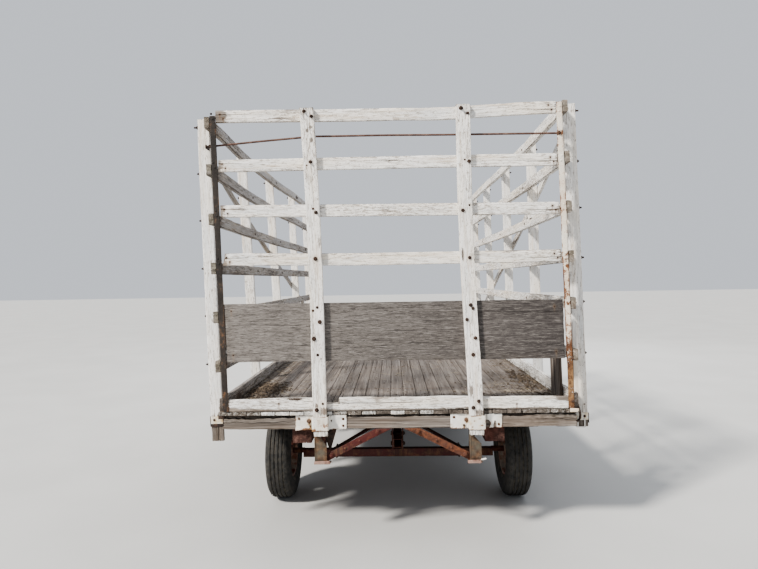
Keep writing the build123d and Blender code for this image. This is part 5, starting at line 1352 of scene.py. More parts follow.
# hanging angles under the uprights
BOT = 0.563
for s, material in ((-1, DARK), (1, GUSSET)):
    g = Piece("hanging_angle_" + ("left" if s < 0 else "right"))
    xc = s * 0.524 + 0.004
    top = JOIST_BOT

    def dent(co, s=s):
        co = co.copy()
        co[:, 2] += 0.0025 * noise2(co[:, 0] * 18, co[:, 1] * 14, 77 + s)
        return co

    outline = [(0.031, 0), (0.032, 0.060), (0.030, 0.121), (-0.022, 0.180), (-0.026, top - BOT)] if s > 0 else \
        [(0.038, 0), (0.039, 0.060), (0.037, 0.114), (-0.002, 0.176), (-0.006, top - BOT)]
    plate(g, [(-0.045, 0)] + outline + [(-0.045, top - BOT)], (xc, REAR + 0.0065, BOT), X, Z, Y, -0.006, r=0.0015, cuts=6, shape=dent)
    plate(g, [(0.006, 0), (0.050, 0), (0.058, 0.1), (0.070, top - BOT), (0.006, top - BOT)], (xc - 0.045, REAR, BOT), Y, Z, X, 0.006, r=0.0015, cuts=5, shape=dent)
    # foot plate, its front edge turned up, and on the left a web behind that hangs to a point, dark as painted shade
    x0, x1 = (-0.064, 0.033) if s > 0 else (-0.050, 0.064)
    foot = Piece("hanging_foot_" + ("left" if s < 0 else "right"))
    plate(foot, [(x0, -0.034), (x1 - 0.006, -0.034), (x1, 0.030), (x0 + 0.008, 0.030)], (xc, REAR + 0.025, BOT - 0.006), X, Y, Z, 0.006, r=0.0015, cuts=4)
    plate(foot, [(x0, -0.001), (x1 - 0.006, -0.003), (x1 - 0.008, 0.018), (x0 + 0.003, 0.015)], (xc, REAR - 0.0090, BOT), X, Z, Y, 0.005, r=0.0014, cuts=4)
    put(foot, FOOT, angle=40)
    if s < 0:
        web = Piece("hanging_web_left_painted_shade")
        plate(web, [(-0.516, JOIST_BOT), (-0.470, 0.634), (-0.462, 0.634), (-0.416, JOIST_BOT)], (0, REAR + 0.060, 0), X, Z, Y, -0.006, r=0.0015)
        put(web, DARK, angle=40)
    weld(g, (xc - 0.040, REAR + 0.0005, BOT + 0.002), (xc - 0.040, REAR + 0.0005, BOT + 0.21), 0.003, seed=4)
    weld(g, (xc - 0.042, REAR - 0.0005, BOT + 0.001), (xc + 0.038, REAR - 0.0005, BOT + 0.001), 0.003, seed=5)
    put(g, GUSSET, replaces=["pocket_gussets"] if s < 0 else (), angle=40)

# flat braces up to the middle of the end beam; the left one in the dark red steel, whose darkness is partly painted
# shade
for s, material in ((-1, RED_SHADED), (1, ORANGE)):
    br = Piece("beam_brace_" + ("left" if s < 0 else "right"))
    half, slope = 0.0268, 0.497
    mid_h = lambda a: 0.592 + (0.488 - a) * slope
    at_h = lambda h: 0.488 - (h - 0.592) / slope
    if s < 0:
        outer, inner = [(0.559, BOT), (0.559, mid_h(0.559) + half)], [(at_h(BOT + half), BOT)]
    else:
        outer, inner = [(0.483, mid_h(0.483) - half), (0.483, mid_h(0.483) + half)], []
    poly = [(s * a, h) for a, h in outer + [(at_h(JOIST_BOT - half), JOIST_BOT), (at_h(JOIST_BOT + half), JOIST_BOT)] + inner]

    def twist(co, s=s):
        co = co.copy()
        f = np.clip((0.48 - np.abs(co[:, 0])) / 0.44, 0, 1)
        co[:, 2] += 0.0030 * np.sin(f * 3.1) + 0.0012 * noise1(co[:, 0] * 20, 88 + s)
        co[:, 1] += 0.0010 * noise1(co[:, 0] * 9, 89 + s) * np.clip(f * 5, 0, 1) * np.clip((1 - f) * 5, 0, 1)
        return co

    plate(br, poly if s > 0 else poly[::-1], (0, REAR + 0.029, 0), X, Z, Y, -0.006, r=0.0014, cuts=14, shape=twist)
    nb = np.array((0, -1.0, 0))
    for a, r, kind in ((0.452, 0.0085, "hex"), (0.36, 0.0045, "dome"), (0.26, 0.0050, "dome"), (0.135, 0.0080, "hex")):
        bolt(br, np.array((s * a, REAR + 0.0215, mid_h(a))), nb, r, kind, washer=kind == "hex", stub=0.004, seed=int(a * 100))
    put(br, material, replaces=["pocket_braces"] if s < 0 else (), angle=40)

# clips that strap the posts' feet to the bed: stained plate above a rusty lip
clips, lips = Piece("post_clips"), Piece("post_clip_lips")
for s in (-1, 1):
    for i, y in enumerate(POST_Y):
        last = i == len(POST_Y) - 1
        yy = y + POST_T if last else y - 0.005
        U_ = LEANOUT * s
        seed = 540 + i + 10 * s
        w = POST_W - 0.002
        base = side_at(s * (POST_IN + 0.001), yy, -0.108)
        bump_ = (lambda seed: (lambda co: co + np.stack([0 * co[:, 0], 0.0008 * noise1(co[:, 0] * 40, seed), 0.0008 * noise2(co[:, 0] * 30, co[:, 1] * 40, seed)], 1)))(seed)
        plate(clips, [(0, 0), (w, 0.002), (w, 0.052), (0, 0.054)], base, U_, LEANUP, Y, 0.005, r=0.0012, cuts=5, shape=bump_, mark=(0.10, 0.05, 0.85))
        if not (s > 0 and i == 0):
            plate(lips, [(0, 0), (w, 0), (w, 0.018), (0, 0.019)], side_at(s * (POST_IN + 0.001), yy - (-0.001 if last else 0.001), -0.127), U_, LEANUP, Y, 0.0055, r=0.0014, cuts=4, shape=bump_)
        # ears that turn forward beside the post
        for k in (0, 1):
            o = side_at(s * (POST_IN + (POST_W + 0.0010 if k else -0.0042)), y - 0.003, -0.127)
            plate(lips, [(0, 0), (0.055 if not last else 0.040, 0), (0.050 if not last else 0.036, 0.050), (0, 0.072)], o, Y, LEANUP, LEANOUT * s, 0.0035, r=0.001, cuts=3)
        bolt(lips, side_at(s * (POST_IN + 0.060), yy + (0.005 if last else 0.0), -0.080), (0, 1 if last else -1, 0), 0.0050, "dome", washer=False, seed=i)
put(clips, PAINTED, replaces=["post_clips"], angle=40)
put(lips, DARK, angle=40)

# odds and ends at the rear corners: at the left a hook and a dark plate that is painted shadow, at the right a dark
# curved rod that is painted shadow shaped as a hook, and a light bracket
bracket = Piece("corner_bracket")
plate(bracket, [(0, 0), (0.052, 0), (0.052, 0.007), (0.007, 0.007), (0.007, 0.072), (0, 0.074)], (1.233, REAR + 0.1105, FLOOR - 0.156), X, Z, Y, 0.007, r=0.0012, mark=(0, 0.2, 0.0))
plate(bracket, [(0, 0), (0.007, 0), (0.007, 0.062), (0, 0.060)], (1.280, REAR + 0.1105, FLOOR - 0.156), X, Z, Y, 0.007, r=0.0012, mark=(0, 0.2, 0.0))
put(bracket, PAINTED, angle=40)
hook_and_shadow_pieces = Piece("corner_hook_and_shadow_pieces")


def curve_pts(ctrl, n=28):
    """A smooth line through its control points."""
    c = [Vector(p) for p in ctrl]
    c = [c[0] * 2 - c[1]] + c + [c[-1] * 2 - c[-2]]
    out = []
    for i in range(1, len(c) - 2):
        for k in range(n if i < len(c) - 3 else n + 1):
            t = k / n
            p0, p1, p2, p3 = c[i - 1:i + 3]
            out.append(0.5 * ((2 * p1) + (p2 - p0) * t + (2 * p0 - 5 * p1 + 4 * p2 - p3) * t * t + (3 * p1 - p0 - 3 * p2 + p3) * t ** 3))
    return out


# this dark curved rod at the right is painted shadow on the post
rod(hook_and_shadow_pieces, curve_pts([(1.186, REAR + 0.080, FLOOR + 0.052), (1.205, REAR + 0.074, FLOOR + 0.040), (1.226, REAR + 0.072, FLOOR - 0.002), (1.240, REAR + 0.074, FLOOR - 0.050),
                      (1.236, REAR + 0.080, FLOOR - 0.092), (1.214, REAR + 0.086, FLOOR - 0.108)], 10), 0.0078, 10)
rod(hook_and_shadow_pieces, curve_pts([(-1.222, REAR + 0.068, FLOOR + 0.022), (-1.216, REAR + 0.060, FLOOR + 0.004), (-1.202, REAR + 0.058, FLOOR - 0.030), (-1.190, REAR + 0.064, FLOOR - 0.056),
                      (-1.172, REAR + 0.070, FLOOR - 0.062)], 10), 0.0075, 10)
# this dark plate at the left is painted shadow
plate(hook_and_shadow_pieces, [(0, 0), (0.048, 0), (0.052, 0.022), (0.028, 0.034), (0, 0.030)], (-1.232, REAR + 0.050, FLOOR - 0.060), X, Z, Y, 0.006, r=0.0015)
put(hook_and_shadow_pieces, DARK, angle=40)
clamp = Piece("light_bolt")
rod(clamp, [(0.556, REAR + 0.004, FLOOR - 0.337), (0.570, REAR + 0.001, FLOOR - 0.334), (0.588, REAR - 0.003, FLOOR - 0.329)], [0.0050, 0.0062, 0.0055], 10)
rod(clamp, [(0.545, REAR + 0.020, FLOOR - 0.340), (0.556, REAR + 0.004, FLOOR - 0.337)], 0.0045, 8)
put(clamp, PAINTED, angle=40)

# ------------------------------------------------------------------ wheels
TRACK, AXLE_Z = 0.950, 0.372
REAR_AXLE, FRONT_AXLE = REAR + 0.965, REAR + 0.965 + 2.950
AXLES = {"rl": (-1, REAR_AXLE), "rr": (1, REAR_AXLE), "fl": (-1, FRONT_AXLE), "fr": (1, FRONT_AXLE)}


def tyre_profile():
    """Outer and inner section of the tyre: five ribs, rounded shoulders, rings on the sidewall. Returns points and marks."""
    pts, mk = [], []

    def go(a, r, groove=0.0, dust=0.0, wall=0.0):
        pts.append((a, r))
        mk.append((groove, dust, wall))

    crown = lambda a: 0.3720 - 0.0022 * (a / 0.060) ** 2 - 0.0030 * max(0.0, (abs(a) - 0.060) / 0.018) ** 1.6
    half = []
    grooves = (0.0155, 0.0465)
    a = 0.0
    half.append((0.0, crown(0), 0, 0.15, 0))
    for g in grooves:
        w, d = 0.0052, 0.0085
        half += [(g - w - 0.0012, crown(g), 0, 0.15, 0), (g - w, crown(g) - 0.0012, 0.4, 0.5, 0), (g - w + 0.0016, crown(g) - d, 1, 1, 0), (g, crown(g) - d - 0.0006, 1, 1, 0),
                 (g + w - 0.0016, crown(g) - d, 1, 1, 0), (g + w, crown(g) - 0.0012, 0.4, 0.5, 0), (g + w + 0.0012, crown(g), 0, 0.15, 0)]
        if g < 0.04:
            half.append((0.031, crown(0.031), 0, 0.15, 0))
    half += [(0.062, crown(0.062), 0, 0.2, 0), (0.0725, 0.3655, 0, 0.2, 0.1), (0.0765, 0.3625, 0, 0.2, 0.2)]
    wall = [(0.0800, 0.3590), (0.0860, 0.3500), (0.0905, 0.3430), (0.0918, 0.3412), (0.0912, 0.3398), (0.0955, 0.3290), (0.0985, 0.3180), (0.1000, 0.3070), (0.1008, 0.2960),
            (0.1004, 0.2935), (0.1012, 0.2905), (0.1008, 0.2800), (0.0995, 0.2680), (0.0975, 0.2570), (0.0962, 0.2535), (0.0966, 0.2510), (0.0940, 0.2440), (0.0900, 0.2330),
            (0.0855, 0.2250), (0.0800, 0.2175), (0.0735, 0.2105), (0.0705, 0.2070), (0.0690, 0.2020), (0.0690, 0.1965)]
    half += [(x, r, 0, 0.25 + 0.5 * (r < 0.24), 1.0) for x, r in wall]
    inner = [(0.0480, 0.1965), (0.0540, 0.2100), (0.0790, 0.2450), (0.0850, 0.2850), (0.0770, 0.3290), (0.0610, 0.3460), (0.0300, 0.3490)]
    inner = [(x, r, 0, 0.3, 0) for x, r in inner]
    ring = half + inner
    full = ring + [(-x, r, g, d, w) for x, r, g, d, w in ring[::-1] if x > 1e-9]
    # order round the section: out on +a, in on +a, in on -a, out on -a
    return [(x, r) for x, r, g, d, w in full], [(g, d, w) for x, r, g, d, w in full]


prof, marks_ = tyre_profile()
arc = [0.0]
for p, q in zip(prof, prof[1:]):
    arc.append(arc[-1] + math.hypot(q[0] - p[0], q[1] - p[1]))


def shoulder_cut(a, r, i):
    """Short cross cuts in the shoulders of the tread, worn shallow."""
    if 0.0615 < abs(a) < 0.0815 and r > 0.355 and i % 4 == 0:
        return a * 0.985, r - 0.0042
    return a, r


def disc_mesh():
    """The pressed disc between hub and drop centre, with round hand holes. Returns points (r, angle, side) as x, y and triangles."""
    from mathutils.geometry import delaunay_2d_cdt
    holes, n_h, r_h, rad = [], 8, 0.1400, 0.0165
    pts, edges = [], []

    def ring(cx, cy, r, n, ry=None, rot=0.0):
        base = len(pts)
        for i in range(n):
            q = 2 * math.pi * i / n
            x, y = r * math.cos(q), (ry or r) * math.sin(q)
            pts.append(Vector((cx + x * math.cos(rot) - y * math.sin(rot), cy + x * math.sin(rot) + y * math.cos(rot))))
        edges.extend((base + i, base + (i + 1) % n) for i in range(n))

    ring(0, 0, 0.1700, 120)
    ring(0, 0, 0.0560, 60)
    for k in range(n_h):
        q = 2 * math.pi * (k + 0.5) / n_h
        ring(r_h * math.cos(q), r_h * math.sin(q), rad * 0.85, 28, rad * 1.25, q)
        ring(r_h * math.cos(q), r_h * math.sin(q), rad * 0.85 + 0.0035, 28, rad * 1.25 + 0.0035, q)
    for r, n in ((0.064, 60), (0.074, 60), (0.086, 72), (0.098, 72), (0.108, 80), (0.116, 90), (0.122, 96), (0.160, 120), (0.166, 120)):
        for i in range(n):
            q = 2 * math.pi * (i + 0.5 * (n % 7)) / n
            pts.append(Vector((r * math.cos(q), r * math.sin(q))))
    v, e, f, *rest = delaunay_2d_cdt(pts, edges, [], 0, 1e-6)
    def inside(x, y):
        r = math.hypot(x, y)
        if r < 0.0560 or r > 0.1699:
            return False
        for k in range(n_h):
            q = 2 * math.pi * (k + 0.5) / n_h
            dx, dy = x - r_h * math.cos(q), y - r_h * math.sin(q)
            a, b = dx * math.cos(q) + dy * math.sin(q), -dx * math.sin(q) + dy * math.cos(q)
            if (a / (rad * 0.85)) ** 2 + (b / (rad * 1.25)) ** 2 < 0.985:
                return False
        return True
    tri = [t for t in f if inside(sum(v[i].x for i in t) / 3, sum(v[i].y for i in t) / 3)]
    used = sorted({i for t in tri for i in t})
    m = {o: k for k, o in enumerate(used)}
    return [(v[i].x, v[i].y) for i in used], [tuple(m[i] for i in t) for t in tri]


DISC_V, DISC_T = disc_mesh()


def disc_side(r):
    """How far out the disc's outer face lies at each radius."""
    k = [(0.056, 0.031), (0.064, 0.030), (0.090, 0.0310), (0.112, 0.0295), (0.122, 0.0270), (0.140, 0.0175), (0.158, 0.0085), (0.166, 0.0062), (0.171, 0.0060)]
    return float(np.interp(r, [p[0] for p in k], [p[1] for p in k]))


for tag, (s, yw) in AXLES.items():
    o = (s * TRACK, yw, AXLE_Z)
    tyre = Piece("tyre_" + tag + "_tread")
    lathe(tyre, o, (s, 0, 0), prof, 180, loop=True, mark=marks_, gco=arc, move=shoulder_cut)
    put(tyre, TYRE, body="wheel_" + tag, replaces=["tyre_" + tag], angle=32)
    rim = Piece("wheel_" + tag + "_rim")
    outer = [(0.0762, 0.2050), (0.0768, 0.2066), (0.0756, 0.2074), (0.0738, 0.2068), (0.0722, 0.2040), (0.0712, 0.1985), (0.0700, 0.1962), (0.0660, 0.1955), (0.0400, 0.1950),
             (0.0360, 0.1935), (0.0318, 0.1800), (0.0300, 0.1735), (0.0270, 0.1716), (0.0, 0.1712)]
    inner = [(0.0, 0.1674), (0.0300, 0.1676), (0.0340, 0.1690), (0.0390, 0.1850), (0.0420, 0.1905), (0.0470, 0.1915), (0.0700, 0.1918), (0.0730, 0.1930), (0.0745, 0.1980), (0.0752, 0.2030)]
    loop = outer + [(-a, r) for a, r in outer[::-1][1:]] + [(-a, r) for a, r in inner[::-1]] + inner[1:]
    lathe(rim, o, (s, 0, 0), loop, 96, loop=True)
    z = Vector((s, 0, 0))
    xx = z.orthogonal().normalized()
    yy = z.cross(xx)
    top, n = [], len(DISC_V)
    for a, b in DISC_V:
        r = math.hypot(a, b)
        top.append(Vector(o) + z * disc_side(r) + xx * a + yy * b)
    bottom = [p - z * 0.0042 for p in top]
    count = {}
    for t in DISC_T:
        for e in zip(t, t[1:] + t[:1]):
            count[frozenset(e)] = count.get(frozenset(e), []) + [e]
    faces = [tuple(t) for t in DISC_T] + [tuple(n + i for i in t[::-1]) for t in DISC_T]
    for e in count.values():
        if len(e) == 1:
            a, b = e[0]
            faces.append((b, a, n + a, n + b))
    rim.add([tuple(p) for p in top + bottom], faces, wear=np.full((2 * n, 3), 0.02))
    # hub: barrel, flange, cap, studs and nuts
    lathe(rim, o, (s, 0, 0), [(0.045, 0.0), (0.045, 0.0236), (-0.066, 0.0245), (-0.068, 0.0260), (-0.068, 0.0385), (-0.064, 0.0400), (-0.024, 0.0510), (0.020, 0.0570), (0.028, 0.0585), (0.030, 0.0640), (0.034, 0.0655),
                              (0.040, 0.0650), (0.043, 0.0610), (0.058, 0.0500), (0.061, 0.0470), (0.062, 0.0370), (0.078, 0.0352), (0.0840, 0.0325), (0.0868, 0.0240), (0.0874, 0.0)], 48)
    bead = [(0.0085 + 0.0034 * math.cos(q * math.pi / 4), 0.1665 - 0.0034 * math.sin(q * math.pi / 4)) for q in range(8)]
    lathe(rim, o, (s, 0, 0), bead, 72, loop=True)
    for k in range(6):
        q = 2 * math.pi * k / 6 + 0.3
        c = Vector(o) + z * 0.0305 + (xx * math.cos(q) + yy * math.sin(q)) * 0.0820
        bolt(rim, c, z, 0.0072, "nut", washer=True, stub=0.010, seed=k)
    # valve
    q = 0.9
    v0 = Vector(o) + z * 0.036 + (xx * math.cos(q) + yy * math.sin(q)) * 0.1730
    rod(rim, [v0, v0 + z * 0.010 - (xx * math.cos(q) + yy * math.sin(q)) * 0.004, v0 + z * 0.026 - (xx * math.cos(q) + yy * math.sin(q)) * 0.012], [0.0060, 0.0052, 0.0042], 10)
    put(rim, WHEEL, body="wheel_" + tag, replaces=["rim_" + tag], angle=32)

# ------------------------------------------------------------------ running gear
# columns: CAD node, body, material, slot, edge radius
# the red steel of the gear is darkened as painted shade
for node, body, material, slot, r in (
        ("rear_axle", "root", RED_SHADED, "red_steel", 0.003), ("rear_bolster", "root", RED_SHADED, "red_steel", 0.0025), ("front_axle", "root", RED_SHADED, "red_steel", 0.0025),
        ("front_bolster", "root", RED_SHADED, "red_steel", 0.0025), ("reach_pole", "root", RED_SHADED, "red_steel", 0.0022), ("reach_braces", "root", RED_SHADED, "red_steel", 0.002),
        ("bolster_stakes", "root", RED_SHADED, "red_steel", 0.0025), ("knuckle_left", "knuckle_l", RED_SHADED, "red_steel", 0.002), ("knuckle_right", "knuckle_r", RED_SHADED, "red_steel", 0.002),
        ("tie_rod_left", "rod_l", RUST, "rusty_steel", 0.0018), ("tie_rod_right", "rod_r", RUST, "rusty_steel", 0.0018), ("steer_plate", "steer", RUST, "rusty_steel", 0.002),
        ("tongue_pole", "tongue", RED_SHADED, "red_steel", 0.0022), ("tongue_hitch", "tongue", RUST, "rusty_steel", 0.002)):
    p = Piece(node + "_worn")
    worn_copy(p, node, r)
    put(p, material, body=body, replaces=[node], angle=34)

gear_bolts, gear_welds = Piece("gear_bolts"), Piece("gear_welds")
for yc, fore in ((REAR_AXLE, 1), (FRONT_AXLE, -1)):
    for s in (-1, 1):
        # legs welded to the axle and to the bolster
        for x0, x1 in ((0.600, 0.640), (0.037, 0.047)):
            for side in (-1, 1):
                weld(gear_welds, (s * x0, yc + side * 0.0405, 0.5825), (s * x1, yc + side * 0.0405, 0.5825), 0.0045, seed=int(x0 * 100) + side)
                weld(gear_welds, (s * x0, yc + side * 0.0285, 0.3835), (s * x1, yc + side * 0.0285, 0.3835), 0.0045, seed=int(x0 * 90) + side)
            for x in (x0 - 0.0005, x1 + 0.0005):
                weld(gear_welds, (s * x, yc - 0.038, 0.5825), (s * x, yc + 0.038, 0.5825), 0.0040, seed=int(x * 1000))
        # U-bolts round the axle beam, each with its saddle
        for xa in (0.510, 0.672):
            xb = s * xa
            rod(gear_bolts, curve_pts([(xb, yc + 0.034, 0.412), (xb, yc + 0.034, 0.330), (xb, yc + 0.030, 0.3160), (xb, yc, 0.3140), (xb, yc - 0.030, 0.3160), (xb, yc - 0.034, 0.330),
                                       (xb, yc - 0.034, 0.412)], 5), 0.0060, 8)
            plate(gear_bolts, [(-0.016, -0.047), (0.016, -0.047), (0.016, 0.047), (-0.016, 0.047)], (xb, yc, 0.3835), X, Y, Z, 0.009, r=0.0015)
            for side in (-1, 1):
                bolt(gear_bolts, (xb, yc + side * 0.034, 0.3925), (0, 0, 1), 0.0065, "hex", washer=True, stub=0.008, seed=3)
        # lugs that hold the ends of the reach braces
        for dx in (-0.0215, 0.0155):
            plate(gear_bolts, [(0.026, -0.020), (0.074, -0.020), (0.086, -0.008), (0.086, 0.010), (0.074, 0.022), (0.026, 0.022)], (s * 0.560 + dx, yc, 0.352),
                  (0, fore, 0), Z, X, 0.006, r=0.0015)
        for side in (-1, 1):
            bolt(gear_bolts, (s * 0.560 + side * 0.0212, yc + fore * 0.066, 0.354), (side, 0, 0), 0.0070, "hex", washer=True, stub=0.004 if side > 0 else 0, seed=8)
        # stakes bolted to the sills and welded to the bolster
        bolt(gear_bolts, (s * 0.7390, yc - 0.018, 0.752), (s, 0, 0), 0.0080, "hex", washer=True, stub=0.006, seed=1)
        bolt(gear_bolts, (s * 0.7390, yc + 0.020, 0.722), (s, 0, 0), 0.0080, "hex", washer=True, stub=0.004, seed=2)
        weld(gear_welds, (s * 0.7398, yc - 0.034, 0.6845), (s * 0.7398, yc + 0.034, 0.6845), 0.0045, seed=6)
    # clamp bolts of the reach pole, above it and below it
    for z in (0.4225, 0.5075):
        for dy in (-0.022, 0.022):
            rod(gear_bolts, [(-0.047, yc + dy, z), (0.047, yc + dy, z)], 0.0065, 10)
            for s in (-1, 1):
                bolt(gear_bolts, (s * 0.0470, yc + dy, z), (s, 0, 0), 0.0065, "hex", washer=True, stub=0.005 if s > 0 else 0, seed=5)
# reach braces welded to the pole
for yc, fore, far in ((REAR_AXLE, 1, 0.900), (FRONT_AXLE, -1, 0.760)):
    for s in (-1, 1):
        weld(gear_welds, (s * 0.0355, yc + fore * (far - 0.050), 0.440), (s * 0.0355, yc + fore * (far + 0.004), 0.434), 0.0050, seed=15)
        plate(gear_bolts, [(-0.055, -0.020), (0.045, -0.020), (0.045, 0.016), (-0.055, 0.016)], (s * 0.0350, yc + fore * far, 0.4520), (0, 1, 0), Z, (s, 0, 0), 0.006, r=0.0012)
# grease nipples and pivot fasteners of the front axle
lathe(gear_bolts, (0, FRONT_AXLE + 0.085, 0.386), (0, 0, 1), [(0, 0.0), (0, 0.0130), (0.006, 0.0130), (0.008, 0.0105), (0.008, 0.0035), (0.013, 0.0035), (0.015, 0.0045), (0.019, 0.0030), (0.019, 0)], 14)
put(gear_bolts, DARK, angle=40)
put(gear_welds, RED_SHADED, angle=60)
for s, body in ((-1, "knuckle_l"), (1, "knuckle_r")):
    k = Piece("knuckle_parts_" + body[-1])
    for z in (0.3145, 0.3895):
        weld(k, (s * 0.7975, FRONT_AXLE - 0.030, z), (s * 0.7975, FRONT_AXLE + 0.030, z), 0.004, seed=7)
    lathe(k, (s * 0.760, FRONT_AXLE, 0.4055), (0, 0, 1), [(0, 0), (0, 0.0240), (0.003, 0.0240), (0.005, 0.0215), (0.005, 0.0045), (0.010, 0.0045), (0.012, 0.0055), (0.017, 0.0035), (0.017, 0)], 20)
    lathe(k, (s * 0.8165, FRONT_AXLE, 0.372), (s, 0, 0), [(-0.002, 0), (-0.002, 0.0330), (0.004, 0.0330), (0.010, 0.0270), (0.016, 0.0222)], 28)
    lathe(k, (s * 0.805, FRONT_AXLE + 0.130, 0.3475), (0, 0, 1), [(0, 0), (0, 0.0080), (0.003, 0.0075), (0.003, 0)], 12)
    rod(k, [(s * 0.805 - 0.013, FRONT_AXLE + 0.130, 0.3425), (s * 0.805 + 0.013, FRONT_AXLE + 0.130, 0.3425)], 0.0016, 6)
    put(k, DARK, body=body, angle=40)
sp = Piece("steer_parts")
PIV, TON = FRONT_AXLE + 0.085, FRONT_AXLE + 0.085 + 0.250
for s in (-1, 1):
    rod(sp, [(s * 0.045 - 0.013, PIV + 0.130, 0.3170), (s * 0.045 + 0.013, PIV + 0.130, 0.3170)], 0.0016, 6)
weld(sp, (-0.057, TON - 0.0212, 0.3595), (0.057, TON - 0.0212, 0.3595), 0.004, seed=9)
weld(sp, (-0.057, TON - 0.0212, 0.3405), (0.057, TON - 0.0212, 0.3405), 0.004, seed=10)
put(sp, DARK, body="steer", angle=40)

# tongue: bolts at the cheeks, cotters on the cross pin and the clevis, in the tongue's own directions
reach_ = math.hypot(2.230, 0.050)
dip = math.asin(0.350 / reach_) - math.atan(0.050 / 2.230)
AL = np.array((0, math.cos(dip), -math.sin(dip)))
AB = np.array((0, math.sin(dip), math.cos(dip)))
HINGE = np.array((0, TON, 0.350))
tp = Piece("tongue_parts")
on = lambda along, up, x=0.0: HINGE + AL * along + AB * up + np.array((x, 0, 0))
for s in (-1, 1):
    for al in (0.225, 0.292):
        bolt(tp, on(al, 0.0, s * 0.0782), (s, 0, 0), 0.0085, "hex", washer=True, stub=0.006, seed=int(al * 100))
    rod(tp, [on(0, -0.018, s * 0.0825), on(0, 0.018, s * 0.0825)], 0.0020, 6)
    for al in (0.1890, 0.2050, 0.3110, 0.3270):
        weld(tp, on(al, -0.028, s * 0.0385), on(al, 0.028, s * 0.0385), 0.004, seed=int(al * 1000))
for al in (2.230 - 0.205, 2.230 - 0.145):
    for up in (-1, 1):
        bolt(tp, on(al, up * 0.0502, 0.0), up * AB, 0.0090, "hex", washer=True, stub=0.0 if up < 0 else 0.002, seed=int(al * 10))
put(tp, DARK, body="tongue", angle=40)

# ------------------------------------------------------------------ straw and dirt on the bed
straw, chaff = Piece("straw"), Piece("chaff")
rng = np.random.RandomState(20)


def stalk(piece, p, yaw, length, width, lift, curl):
    """A thin bent stalk, three-sided."""
    n = 5 if length > 0.03 else 2
    d = np.array((math.cos(yaw), math.sin(yaw), 0))
    e = np.array((-d[1], d[0], 0))
    verts = []
    for i in range(n + 1):
        f = i / n
        w = width * (1 - 0.5 * f)
        c = np.array(p) + d * (f - 0.5) * length + e * curl * (f - 0.5) ** 2 * 4 + Z * (lift * f * f * 4 * (1 - f * 0.75) + 0.0006)
        verts += [c - e * w, c + e * w, c + Z * w * 1.1]
    faces = []
    for i in range(n):
        a = 3 * i
        for j in range(3):
            faces.append((a + j, a + (j + 1) % 3, a + 3 + (j + 1) % 3, a + 3 + j))
    faces += [(2, 1, 0), (3 * n, 3 * n + 1, 3 * n + 2)]
    piece.add(verts, faces)


def scatter(n_straw, n_chaff, at, spread):
    for k in range(n_straw):
        x, y = rng.normal(at[0], spread[0]), rng.normal(at[1], spread[1])
        x, y = float(np.clip(x, -1.175, 1.175)), float(np.clip(y, REAR + 0.075, FRONT - 0.05))
        stalk(straw, (x, y, FLOOR - 0.0008), rng.uniform(0, 3.14), rng.uniform(0.03, 0.13), rng.uniform(0.0008, 0.0018), rng.uniform(0, 0.012), rng.uniform(-0.015, 0.015))
    for k in range(n_chaff):
        x, y = rng.normal(at[0], spread[0] * 1.2), rng.normal(at[1], spread[1] * 1.2)
        x, y = float(np.clip(x, -1.18, 1.18)), float(np.clip(y, REAR + 0.065, FRONT - 0.04))
        stalk(chaff, (x, y, FLOOR - 0.0008), rng.uniform(0, 3.14), rng.uniform(0.006, 0.030), rng.uniform(0.0015, 0.0045), rng.uniform(0, 0.004), rng.uniform(-0.004, 0.004))


def leaves(count, at, spread):
    """Dead leaves and broken stems, heaped thicker toward the middle."""
    for k in range(count):
        dx, dy = rng.normal(0, 1), rng.normal(0, 1)
        x, y = float(np.clip(at[0] + dx * spread[0], -1.16, 1.16)), at[1] + dy * spread[1]
        lift = 0.014 * math.exp(-0.5 * (dx * dx + dy * dy)) * rng.uniform(0, 1)
        stalk(chaff, (x, y, FLOOR - 0.0008 + lift), rng.uniform(0, 3.14), rng.uniform(0.015, 0.055), rng.uniform(0.003, 0.010), rng.uniform(0, 0.012), rng.uniform(-0.010, 0.010))


scatter(60, 220, (-1.02, REAR + 0.26), (0.11, 0.14))
scatter(50, 240, (-0.55, REAR + 0.20), (0.30, 0.08))
leaves(260, (-1.05, REAR + 0.78), (0.070, 0.16))
leaves(110, (1.09, REAR + 1.10), (0.050, 0.30))
scatter(16, 120, (-0.98, REAR + 0.85), (0.13, 0.24))
scatter(10, 90, (1.02, REAR + 1.00), (0.10, 0.30))
scatter(60, 260, (0.62, REAR + 0.35), (0.30, 0.18))
scatter(60, 160, (0.95, REAR + 0.55), (0.16, 0.30))
scatter(90, 500, (0.0, -0.9), (0.75, 1.4))
scatter(60, 300, (-1.10, -1.0), (0.05, 1.5))
scatter(60, 300, (1.10, -1.0), (0.05, 1.5))
put(straw, STRAW, angle=60)
put(chaff, CHAFF, angle=60)

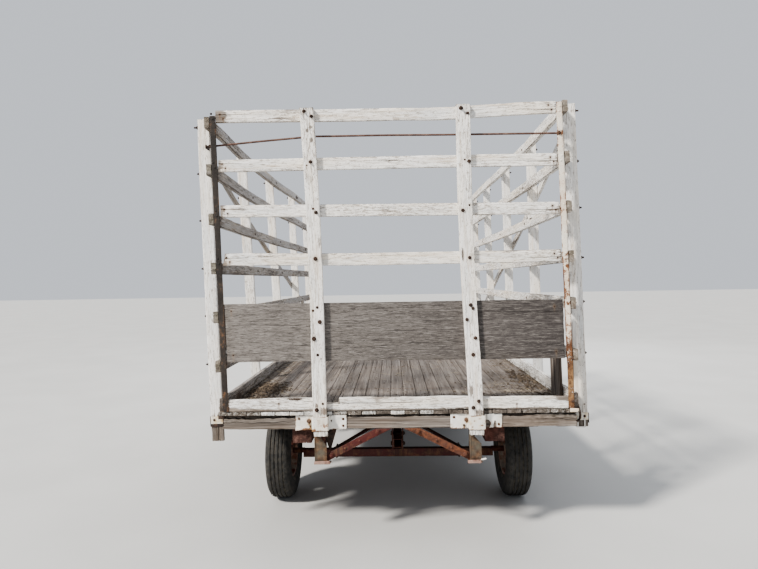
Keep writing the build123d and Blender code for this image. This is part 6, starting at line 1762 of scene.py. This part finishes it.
# ------------------------------------------------------------------ stage
me = bpy.data.meshes.new("floor")
bm = bmesh.new()
bmesh.ops.create_grid(bm, x_segments=8, y_segments=8, size=60.0)
bm.to_mesh(me)
bm.free()
ground = bpy.data.objects.new("floor", me)
scene.collection.objects.link(ground)
me.materials.append(floor_mat())

world = bpy.data.worlds.new("studio")
scene.world = world
world.use_nodes = True
world.node_tree.nodes["Background"].inputs[0].default_value = (0.66, 0.69, 0.74, 1)
world.node_tree.nodes["Background"].inputs[1].default_value = 0.92


def area_light(name, at, look, size, power, color=(1, 1, 1)):
    d = bpy.data.lights.new(name, "AREA")
    d.shape, d.size, d.size_y, d.energy, d.color = "RECTANGLE", size[0], size[1], power, color
    o = bpy.data.objects.new(name, d)
    scene.collection.objects.link(o)
    o.location = at
    o.rotation_euler = (Vector(look) - Vector(at)).to_track_quat("-Z", "Y").to_euler()
    return o


sun = bpy.data.lights.new("key", "SUN")
sun.energy, sun.angle, sun.color = 5.4, math.radians(7), (1.0, 0.955, 0.89)
key = bpy.data.objects.new("key", sun)
scene.collection.objects.link(key)
key.rotation_euler = Vector((6.6, 5.8, -7.6)).to_track_quat("-Z", "Y").to_euler()
area_light("top", (0, 0, 9.0), (0, 0, 0), (8.0, 8.0), 150, (1.0, 1.0, 1.0))
area_light("back", (3.0, 9.0, 5.5), (0, 0, 1.2), (6.0, 4.0), 260, (0.95, 0.97, 1.0))

# camera of the photograph
cam = bpy.data.cameras.new("camera")
cam.sensor_fit, cam.sensor_width = "HORIZONTAL", 36.0
cam.lens = 582.643 / 758 * 36.0
camera = bpy.data.objects.new("camera", cam)
scene.collection.objects.link(camera)
camera.matrix_world = (Matrix.Translation((-0.0187, -7.1199, 1.7988)) @ Matrix.Rotation(0.023892, 4, "Z")
                       @ Matrix.Rotation(math.pi / 2 - 0.0090576, 4, "X") @ Matrix.Rotation(-0.0160546, 4, "Z"))
scene.camera = camera
scene.view_settings.view_transform = "AgX"
scene.view_settings.look = "AgX - Medium High Contrast"
